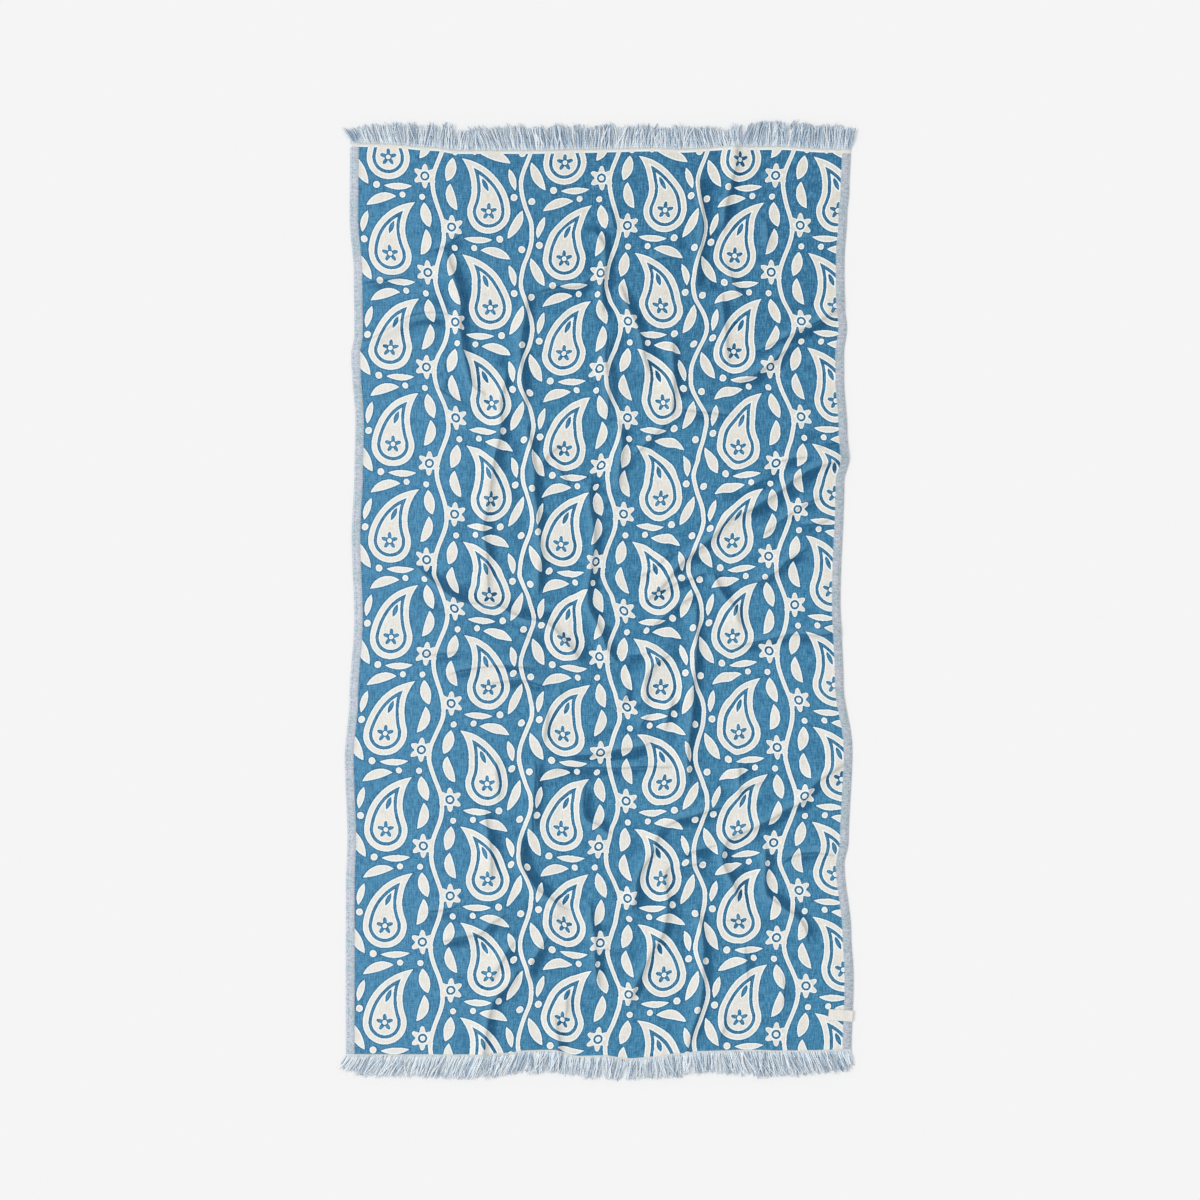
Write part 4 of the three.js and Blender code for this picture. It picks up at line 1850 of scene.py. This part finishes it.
class Strand:
    """Joins many bent copies of one short strand into a single mesh."""

    LAYER = "Strand"
    TONE = "tone"

    def __init__(self, sides: int, steps: int) -> None:
        """Starts with a straight strand, which is copied.

        Args:
            sides: sides of its section.
            steps: steps along it.
        """
        self.straight = self.prism(sides, steps)
        self.straight.uv_layers.new(name=self.LAYER)
        self.straight.attributes.new(self.TONE, "FLOAT", "POINT")
        x, y, z = coordinates(self.straight).T
        self.ring, self.turn = np.rint(z).astype(int), np.arctan2(y, x)
        self.corners = face_corners(self.straight)
        self.around = self.unbroken((self.turn / (2 * math.pi)) % 1)
        self.joined = bmesh.new()

    @staticmethod
    def prism(sides: int, steps: int) -> Mesh:
        """Makes a closed upright prism, a metre high for each step.

        Args:
            sides: its sides.
            steps: steps along it.

        Returns:
            The mesh.
        """
        work = bmesh.new()
        bmesh.ops.create_circle(work, cap_ends=True, segments=sides, radius=1.0)
        ring = list(work.edges)
        bmesh.ops.reverse_faces(work, faces=list(work.faces))
        for _ in range(steps):
            grown = bmesh.ops.extrude_edge_only(work, edges=ring)["geom"]
            fresh = [part for part in grown if isinstance(part, bmesh.types.BMVert)]
            bmesh.ops.translate(work, verts=fresh, vec=(0, 0, 1))
            edges = (part for part in grown if isinstance(part, bmesh.types.BMEdge))
            ring = [edge for edge in edges if all(end in fresh for end in edge.verts)]
        bmesh.ops.contextual_create(work, geom=ring)
        return settled(work, "strand")

    def unbroken(self, around: Array) -> Array:
        """Works out the place round the strand of each face corner, so that no face spans the seam.

        Args:
            around: the place round the strand of each vertex, as a share of a turn.

        Returns:
            The places.
        """
        found = around[self.corners].copy()
        for face in self.straight.polygons:
            own = slice(face.loop_start, face.loop_start + face.loop_total)
            if face.loop_total == 4 and np.ptp(found[own]) > 0.5:
                found[own] = np.where(found[own] < 0.5, found[own] + 1, found[own])
        return found

    def add(self, line: Array, radii: Array, tone: float) -> None:
        """Adds one copy.

        Args:
            line: places of its middle, one more than there are steps.
            radii: its radius at each.
            tone: how pale it is, from 0 to 1.
        """
        ahead = np.gradient(line, axis=0)
        ahead /= np.linalg.norm(ahead, axis=1, keepdims=True)
        aside = np.cross(ahead, (0.0, 0.0, 1.0))
        aside /= np.linalg.norm(aside, axis=1, keepdims=True)
        up = np.cross(aside, ahead)
        ring, turn = self.ring, self.turn[:, None]
        spoke = aside[ring] * np.cos(turn) + up[ring] * np.sin(turn)
        moved(self.straight, line[ring] + spoke * radii[ring, None])
        way = np.concatenate([[0], np.cumsum(np.linalg.norm(np.diff(line, axis=0), axis=1))])
        places = np.stack([self.around, way[ring[self.corners]]], axis=-1)
        self.straight.uv_layers[self.LAYER].data.foreach_set("uv", places.ravel())
        tones = np.full(len(self.straight.vertices), tone)
        self.straight.attributes[self.TONE].data.foreach_set("value", tones)
        self.joined.from_mesh(self.straight)

    def finish(self) -> Mesh:
        """Ends the work on the joined mesh.

        Returns:
            The finished mesh.
        """
        bmesh.ops.recalc_face_normals(self.joined, faces=self.joined.faces)
        bpy.data.meshes.remove(self.straight)
        return settled(self.joined, "strands")


class End(Enum):
    """An end of the towel, as the sign of its direction along Y."""

    UPPER = 1
    LOWER = -1


@dataclass(frozen=True)
class Parting:
    """A place where the yarns of the fringe part and leave a small gap.

    Args:
        at, width: place across the cloth, and width of the gap.
        start, length: how far out from the cloth's end it is widest, and how long it is.
        spread: how far to each side the yarns are pushed, as a share of its width.
    """

    at: float
    width: float
    start: float
    length: float
    spread: float = 1.6

    def push(self, x: Array, along: Array) -> Array:
        """Works out how far it pushes the yarns aside.

        Args:
            x: where each yarn starts.
            along: how far out its points are.

        Returns:
            The way that each point moves across.
        """
        from_gap = (x - self.at)[:, None]
        near = np.exp(-np.abs(from_gap) / (self.width * self.spread))
        opened = np.exp(-(((along - self.start) / self.length * 2) ** 2))
        return np.sign(from_gap) * self.width / 2 * near * opened


@dataclass
class Fringe:
    """The loose warp yarns at one end.

    Args:
        end, lay, partings: which end, how the cloth lies, and the small gaps between the yarns.
        reach, lean: how far they reach, and lean to the right for each metre, by place across the cloth.
        pale, uneven: how pale they are on the whole, from 0 to 1, and how much they differ; the lower fringe
            is set paler than the upper as painted light.
        paler_left: how much paler they are at the left end than in the middle, as painted light.
        layers, pitch: how many layers of yarns lie over each other, and the spacing of one layer's.
        radius, least, most: radius of a yarn, and the thinnest and thickest as shares of it.
        taper, tip: how much thinner they get along their way, and the share left at their blunt tips.
        lock: mean width of the locks in which the yarns hang together.
        lock_longer, yarn_longer: how much the locks, and the yarns of one, differ in length.
        lock_lean, yarn_lean: how much they differ in their lean.
        strays, stray_lean: share of the yarns that stray out of their lock, and how much their lean differs.
        calm, calm_share: how far in from the sides the lean is more even, and how uneven it is at the sides.
        gathered, gather_late: the most that a lock draws together, and how late along its way.
        bow, curl, curl_late: how far the yarns bow, how far their tips curl aside, and how late along them.
        waver, waver_rise: how far they waver, and how soon along their way.
        waver_short, waver_long: the shortest and the longest wavering, for each radian.
        settle, tuck: length over which they come down, and how far inside the cloth's end they start.
        lowest, layered: height of the lowest yarns, and how much higher each layer lies, in radii.
        ripple, ripple_length: how far the upper layers rise and fall, and over what length for each radian.
        part, loft: length over which the layers come apart, and how far apart they are meanwhile.
        sides, steps, seed: sides of a yarn's section, steps along it, and which unevenness it is.
    """

    end: End
    lay: Lay
    reach: Profile
    lean: Profile
    partings: tuple[Parting, ...]
    pale: float
    paler_left: float
    uneven: float = 0.30
    layers: int = 3
    pitch: float = 0.0036
    radius: float = 0.00115
    least: float = 0.78
    most: float = 1.12
    taper: float = 0.12
    tip: float = 0.5
    lock: float = 0.011
    lock_longer: float = 0.0022
    yarn_longer: float = 0.0024
    lock_lean: float = 0.07
    yarn_lean: float = 0.08
    strays: float = 0.16
    stray_lean: float = 0.26
    calm: float = 0.03
    calm_share: float = 0.2
    gathered: float = 0.42
    gather_late: float = 1.6
    bow: float = 0.0011
    curl: float = 0.0018
    curl_late: float = 2.5
    waver: float = 0.00065
    waver_rise: float = 3.0
    waver_short: float = 0.0030
    waver_long: float = 0.0060
    settle: float = 0.045
    tuck: float = 0.0030
    lowest: float = 1.12
    layered: float = 1.30
    ripple: float = 0.0003
    ripple_length: float = 0.006
    part: float = 0.010
    loft: float = 0.0006
    sides: int = 8
    steps: int = 9
    seed: int = 20

    def build(self, finish: Material) -> Object:
        """Makes the piece.

        Args:
            finish: the yarns' finish.

        Returns:
            The piece.
        """
        strands = Strand(self.sides, self.steps)
        for line, radii, tone in self.yarns(np.random.default_rng(self.seed + self.end.value)):
            strands.add(line, radii, tone)
        return placed(f"fringe_{self.end.name.lower()}_yarns", strands.finish(), finish)

    def yarns(self, chance: np.random.Generator) -> Iterator[tuple[Array, Array, float]]:
        """Works out the yarns, which lean, cross and draw together in locks.

        Args:
            chance: the seeded source of their unevenness.

        Yields:
            Each yarn's line, its radii along it and its tone.
        """
        half = self.lay.width / 2 - self.radius
        count = int(self.layers * 2 * half / self.pitch)
        each = (count, 1)
        x = np.linspace(-half, half, count) + chance.normal(0, self.pitch / self.layers / 2, count)
        x = np.clip(x, -half, half)
        layer = chance.permutation(np.arange(count) % self.layers)
        cuts = np.sort(chance.uniform(-half, half, int(2 * half / self.lock)))
        cuts = np.concatenate([[-half], cuts, [half]])
        lock = np.clip(np.searchsorted(cuts, x) - 1, 0, len(cuts) - 2)
        middle = (cuts[lock] + cuts[lock + 1]) / 2
        longer = chance.normal(0, self.lock_longer, len(cuts))[lock]
        longer += chance.normal(0, self.yarn_longer, count)
        stray = chance.random(count) < self.strays
        lean = self.lean(x) + chance.normal(0, self.lock_lean, len(cuts))[lock]
        calm = np.clip((half - np.abs(x)) / self.calm, self.calm_share, 1)
        lean += chance.normal(0, 1, count) * np.where(stray, self.stray_lean, self.yarn_lean) * calm
        gather = chance.uniform(0.0, self.gathered, len(cuts))[lock]

        start_x, start_y = self.lay.spread(x, np.full(count, self.end.value * self.lay.length / 2))
        share = np.linspace(0, 1, self.steps + 1)
        along = share * (self.reach(x) + longer + self.tuck)[:, None] - self.tuck
        past = np.clip(along, 0, None)
        wave = chance.uniform(0, 2 * math.pi, each)
        bow = chance.normal(0, self.bow, each) * np.sin(math.pi * share)
        curl = chance.normal(0, self.curl, each) * share**self.curl_late
        waver = np.sin(wave + past / chance.uniform(self.waver_short, self.waver_long, each))
        waver = self.waver * np.clip(share * self.waver_rise, 0, 1) * waver
        drawn = ((middle - x) * gather)[:, None] * share**self.gather_late
        aside = lean[:, None] * past + drawn + bow + curl + waver
        aside += sum(parting.push(x, along) for parting in self.partings)
        body = np.where(share < 1, 1 - self.taper * share, self.tip)
        thick = self.radius * chance.uniform(self.least, self.most, each) * body
        z = self.heights(self.lay.lift(start_x, start_y) + self.radius, past, layer, stray, wave)
        tone = np.clip(chance.normal(self.pale, self.uneven, count) - self.paler_left * x / half, 0, 1)
        for i in range(count):
            line = np.stack([start_x[i] + aside[i], start_y[i] + self.end.value * along[i], z[i]], axis=-1)
            yield line, thick[i], float(tone[i])

    def heights(self, base: Array, past: Array, layer: Array, stray: Array, wave: Array) -> Array:
        """Works out how high the yarns lie: they come down from the cloth's end and rest on each other.

        Args:
            base: how high each starts.
            past: how far out from the cloth's end its points are.
            layer: the layer it lies in.
            stray: whether it strays, over all layers.
            wave: where its rise and fall starts, in radians.

        Returns:
            The heights of its points.
        """
        low = self.radius * self.lowest
        rest = self.radius * (self.lowest + self.layered * (layer + stray))[:, None]
        rest = rest + self.ripple * (1 + np.sin(2 * wave + past / self.ripple_length)) * layer[:, None]
        down = (1 - np.clip(past / self.settle, 0, 1)) ** 2
        apart = np.clip(past / self.part, 0, 1)
        z = base[:, None] * down + (1 - down) * (rest * apart + low * (1 - apart))
        return np.maximum(z + self.loft * layer[:, None] * apart * down, low)


@dataclass
class BandStitches:
    """The sewing of the two side bands: a close row at the inner edge and a longer one near the outer edge.

    The inner row starts a little inside the band and slants; its stitches are pale. The outer row is darker.
    """

    cloth: Cloth
    inner_pitch: float = 0.0036
    inner_length: float = 0.0030
    inner_inset: float = 0.0006
    inner_slant: float = 0.0004
    inner_uneven: float = 0.00025
    outer_pitch: float = 0.0090
    outer_length: float = 0.0030
    outer_inset: float = 0.0042
    outer_uneven: float = 0.0003
    outer_pale: float = 0.25
    ends: float = 0.008
    radius: float = 0.00045
    sides: int = 6
    steps: int = 4
    seed: int = 41

    def stitches(self) -> Iterator[tuple[Place, Place, float]]:
        """Works out where the stitches are on the flat cut.

        Yields:
            Each stitch's start, its end and how pale it is.
        """
        half, reach = self.cloth.lay.width / 2, self.cloth.lay.length / 2 - self.ends
        inner = half - self.cloth.band - self.inner_inset
        chance = np.random.default_rng(self.seed)
        for side in (-1, 1):
            for y in np.arange(-reach, reach, self.inner_pitch):
                out, back = chance.normal(0, self.inner_uneven, 2)
                start = side * (inner + self.inner_length + out), y + self.inner_slant
                yield start, (side * (inner + back), y - self.inner_slant), 1.0
            for y in np.arange(-reach, reach, self.outer_pitch):
                x = side * (half - self.outer_inset + chance.normal(0, self.outer_uneven))
                tone = abs(chance.normal(0, self.outer_pale))
                yield (x, y - self.outer_length / 2), (x, y + self.outer_length / 2), tone

    def build(self, finish: Material) -> Object:
        """Makes the piece, of stitches that sink into the cloth at both ends.

        Args:
            finish: the thread's finish.

        Returns:
            The piece.
        """
        strands = Strand(self.sides, self.steps)
        share = np.linspace(0, 1, self.steps + 1)
        arch = np.sin(math.pi * share)
        starts, stops, tones = (np.array(found) for found in zip(*self.stitches()))
        cut = starts[:, None] + (stops - starts)[:, None] * share[:, None]
        x, y = self.cloth.lay.spread(cut[..., 0], cut[..., 1])
        z = self.cloth.top(x, y) + self.cloth.rise(cut[..., 0], cut[..., 1]) + self.radius * (arch - 0.5)
        for line, tone in zip(np.stack([x, y, z], axis=-1), tones):
            strands.add(line, self.radius * (0.5 + 0.5 * arch), tone)
        return placed("band_stitches", strands.finish(), finish)


@dataclass
class Label:
    """The bare woven label, which lies over the right side band with its left end a little free."""

    cloth: Cloth
    middle: Place
    width: float = 0.046
    height: float = 0.021
    turn: float = -4.5
    thickness: float = 0.0006
    clear: float = 0.0003
    free: float = 0.1
    curl: float = 0.0016
    corners: float = 0.0006
    ripple: float = 0.00025
    ripple_along: float = 300.0
    ripple_up: float = 120.0
    edge: float = 0.3
    edge_steps: int = 2
    columns: int = 36
    rows: int = 16

    def surface(self, along: Array, up: Array) -> Array:
        """Works out where points of the label lie.

        Args:
            along: places along it, from its middle.
            up: places up it.

        Returns:
            Their places, a row for each.
        """
        cos, sin = math.cos(math.radians(self.turn)), math.sin(math.radians(self.turn))
        x = self.middle[0] + along * cos - up * sin
        y = self.middle[1] + along * sin + up * cos
        rest = self.cloth.top(x, y) + self.cloth.turned + self.clear + self.thickness
        free = np.clip(-along / self.width + self.free, 0, 1)
        curl = self.curl * free**2 + self.corners * (up / self.height * 2) ** 2 * free
        ripple = self.ripple * np.sin(along * self.ripple_along + up * self.ripple_up)
        return np.stack([x, y, rest + curl + ripple], axis=-1)

    def build(self, finish: Material) -> Object:
        """Makes the piece.

        Args:
            finish: the tape's finish.

        Returns:
            The piece.
        """
        mesh = flat_sheet("label", self.columns, self.rows, 0.5)
        flat_places = coordinates(mesh)[:, :2] * (self.width, self.height)
        moved(mesh, self.surface(*flat_places.T))
        unwrapped(mesh, Strand.LAYER, flat_places)
        made = placed("label_tape", mesh, finish)
        thickened(made, self.thickness)
        edge = made.modifiers.new("edges", "BEVEL")
        edge.width = self.thickness * self.edge
        edge.segments = self.edge_steps
        edge.limit_method = "ANGLE"
        return made


# ---- The studio ----


@dataclass
class Studio:
    """The pale floor, the soft light and the camera straight above. The sun's angles are in degrees."""

    camera: Spot = (0.0057, 0.0019, 5.38)
    lens: float = 85.0
    sight: float = 200.0
    floor: float = 40.0
    floor_level: float = -0.0002
    floor_colour: Colour = dyed(245, 245, 245)
    ambient: float = 0.77
    sun_height: float = 40.0
    sun_from: float = 170.0
    sun_size: float = 22.0

    def build(self) -> None:
        """Makes the floor, the lamp, the world and the camera."""
        self.lay_floor()
        self.hang_lamp()
        self.light_world()
        self.set_camera()
        bpy.context.scene.view_settings.view_transform = "Standard"

    def lay_floor(self) -> None:
        """Makes the floor."""
        mesh = flat_sheet("floor", 1, 1, self.floor, self.floor_level)
        finish = bpy.data.materials.new("pale floor")
        finish.use_nodes = True
        shader = finish.node_tree.nodes["Principled BSDF"]
        shader.inputs["Base Color"].default_value = self.floor_colour
        shader.inputs["Roughness"].default_value = 1.0
        shader.inputs["Specular IOR Level"].default_value = 0.0
        placed("floor", mesh, finish)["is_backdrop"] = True

    def hang_lamp(self) -> None:
        """Makes the soft lamp, as bright as makes the whole light plain on a level surface."""
        lamp = bpy.data.lights.new("soft lamp", "SUN")
        height, angle = math.radians(self.sun_height), math.radians(self.sun_from)
        lamp.energy = (1 - self.ambient) * math.pi / math.sin(height)
        lamp.angle = math.radians(self.sun_size)
        level = Vector((math.cos(angle), math.sin(angle), 0.0)) * math.cos(height)
        hung = bpy.data.objects.new("soft lamp", lamp)
        hung.rotation_euler = (level + Vector((0, 0, math.sin(height)))).to_track_quat("Z", "Y").to_euler()
        bpy.context.collection.objects.link(hung)

    def light_world(self) -> None:
        """Makes the even light from all round, and the white behind everything."""
        world = bpy.data.worlds.new("studio")
        world.use_nodes = True
        bpy.context.scene.world = world
        graph = Graph(world.node_tree)
        path = graph.node("LightPath")
        rays = ("Is Camera Ray", "Is Glossy Ray", "Is Transmission Ray")
        seen = graph.largest(*(Value(graph, path.outputs[name]) for name in rays))
        strength = seen * (1 - self.ambient) + self.ambient
        back = graph.fill(graph.node("Background"), Color=WHITE, Strength=strength)
        graph.fill(graph.node("OutputWorld"), Surface=Value(graph, back.outputs[0]))

    def set_camera(self) -> None:
        """Makes the camera, which looks straight down with +Y up in its view."""
        lens = bpy.data.cameras.new("camera")
        lens.lens = self.lens
        lens.clip_end = self.sight
        camera = bpy.data.objects.new("camera", lens)
        camera.location = self.camera
        bpy.context.collection.objects.link(camera)
        bpy.context.scene.camera = camera


# ---- The whole towel ----

# How far the yarns reach from the cloth's end, in metres, by place across the towel.
UPPER_REACH = Profile(
    (-0.482, 0.0240), (-0.435, 0.0310), (-0.405, 0.0370), (-0.345, 0.0410), (-0.300, 0.0420),
    (-0.270, 0.0360), (-0.225, 0.0360), (-0.190, 0.0440), (-0.090, 0.0440), (0.000, 0.0420),
    (0.065, 0.0403), (0.105, 0.0365), (0.145, 0.0418), (0.185, 0.0400), (0.225, 0.0345), (0.250, 0.0310),
    (0.278, 0.0425), (0.320, 0.0465), (0.365, 0.0455), (0.405, 0.0430), (0.440, 0.0445), (0.482, 0.0380),
)

LOWER_REACH = Profile(
    (-0.482, 0.0210), (-0.440, 0.0335), (-0.390, 0.0385), (-0.345, 0.0405), (-0.310, 0.0365),
    (-0.255, 0.0410), (-0.215, 0.0425), (-0.160, 0.0400), (-0.100, 0.0380), (-0.050, 0.0345),
    (-0.010, 0.0400), (0.035, 0.0355), (0.090, 0.0395), (0.130, 0.0380), (0.165, 0.0360), (0.205, 0.0370),
    (0.240, 0.0415), (0.320, 0.0455), (0.365, 0.0425), (0.410, 0.0405), (0.440, 0.0375), (0.482, 0.0290),
)

# How far they lean to the right, in metres for each metre along, by place across the towel.
UPPER_LEAN = Profile(
    (-0.482, -0.50), (-0.440, -0.42), (-0.390, -0.26), (-0.350, 0.10), (-0.270, 0.00), (-0.210, -0.30),
    (-0.120, -0.16), (0.000, -0.05), (0.060, 0.12), (0.150, 0.02), (0.220, -0.26), (0.280, 0.02),
    (0.340, 0.22), (0.430, 0.12), (0.482, 0.30),
)

LOWER_LEAN = Profile(
    (-0.482, -0.66), (-0.430, -0.54), (-0.300, -0.42), (-0.200, -0.28), (-0.100, -0.20), (0.000, -0.12),
    (0.060, -0.24), (0.130, 0.22), (0.200, -0.06), (0.280, 0.32), (0.350, 0.26), (0.430, 0.36),
    (0.482, 0.16),
)

UPPER_PARTINGS = (
    Parting(-0.384, 0.0060, 0.016, 0.022),
    Parting(-0.262, 0.0035, 0.030, 0.020),
    Parting(0.022, 0.0030, 0.028, 0.020),
    Parting(0.196, 0.0035, 0.026, 0.022),
    Parting(0.402, 0.0065, 0.014, 0.024),
    Parting(0.432, 0.0055, 0.018, 0.026),
)

LOWER_PARTINGS = (
    Parting(-0.140, 0.0030, 0.026, 0.020),
    Parting(0.072, 0.0050, 0.024, 0.024),
    Parting(0.312, 0.0050, 0.026, 0.024),
    Parting(0.372, 0.0035, 0.022, 0.022),
)


def corners(box: tuple[Vector, Vector]) -> list[list[float]]:
    """Writes a box as plain lists."""
    return [[float(value) for value in corner] for corner in box]


def seated(piece: Object, slot: str, *nodes: str) -> Object:
    """Makes a piece ride on the towel's one body and hides the solids that it stands for.

    Args:
        piece: the piece.
        slot: not used.
        nodes: the solids that it stands for.

    Returns:
        The piece.
    """
    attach(piece, ROOT)
    if nodes:
        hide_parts(*nodes)
    LOG.info("%s: %d faces", piece.name, len(piece.data.polygons))
    return piece


def main() -> None:
    """Builds the towel in order."""
    logging.basicConfig(level=logging.INFO, format="%(name)s: %(message)s")
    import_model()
    cad_box = corners(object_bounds())
    Studio().build()

    lay = Lay()
    cloth = Cloth(lay)
    # The lower fringe's higher pale and both fringes' paler_left are painted light: paler where the light
    # falls brighter.
    upper = Fringe(End.UPPER, lay, UPPER_REACH, UPPER_LEAN, UPPER_PARTINGS, pale=0.57, paler_left=0.06)
    lower = Fringe(End.LOWER, lay, LOWER_REACH, LOWER_LEAN, LOWER_PARTINGS, pale=0.66, paler_left=0.11)
    low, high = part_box("label")
    middle = (low + high) / 2

    weave, twist, figure = Weave().tree(), Twist().tree(), VineRepeat().tree()
    front, reverse = (FiguredCloth(face).material(lay, figure, weave) for face in Face)
    yarn, thread = FringeYarn().material(twist), SewingThread().material(twist)
    tape = LabelTape().material(weave)

    sheet = seated(cloth.build(front, reverse), "cloth", "cloth")
    fringes = [
        seated(upper.build(yarn), "fringe", "fringe_top"),
        seated(lower.build(yarn), "fringe", "fringe_bottom"),
    ]
    stitches = seated(BandStitches(cloth).build(thread), "cloth")
    label = seated(Label(cloth, (middle.x, middle.y)).build(tape), "label", "label")

    json.dumps({"cad": cad_box, "visual": corners(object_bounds())})


if __name__ == "__main__":
    main()
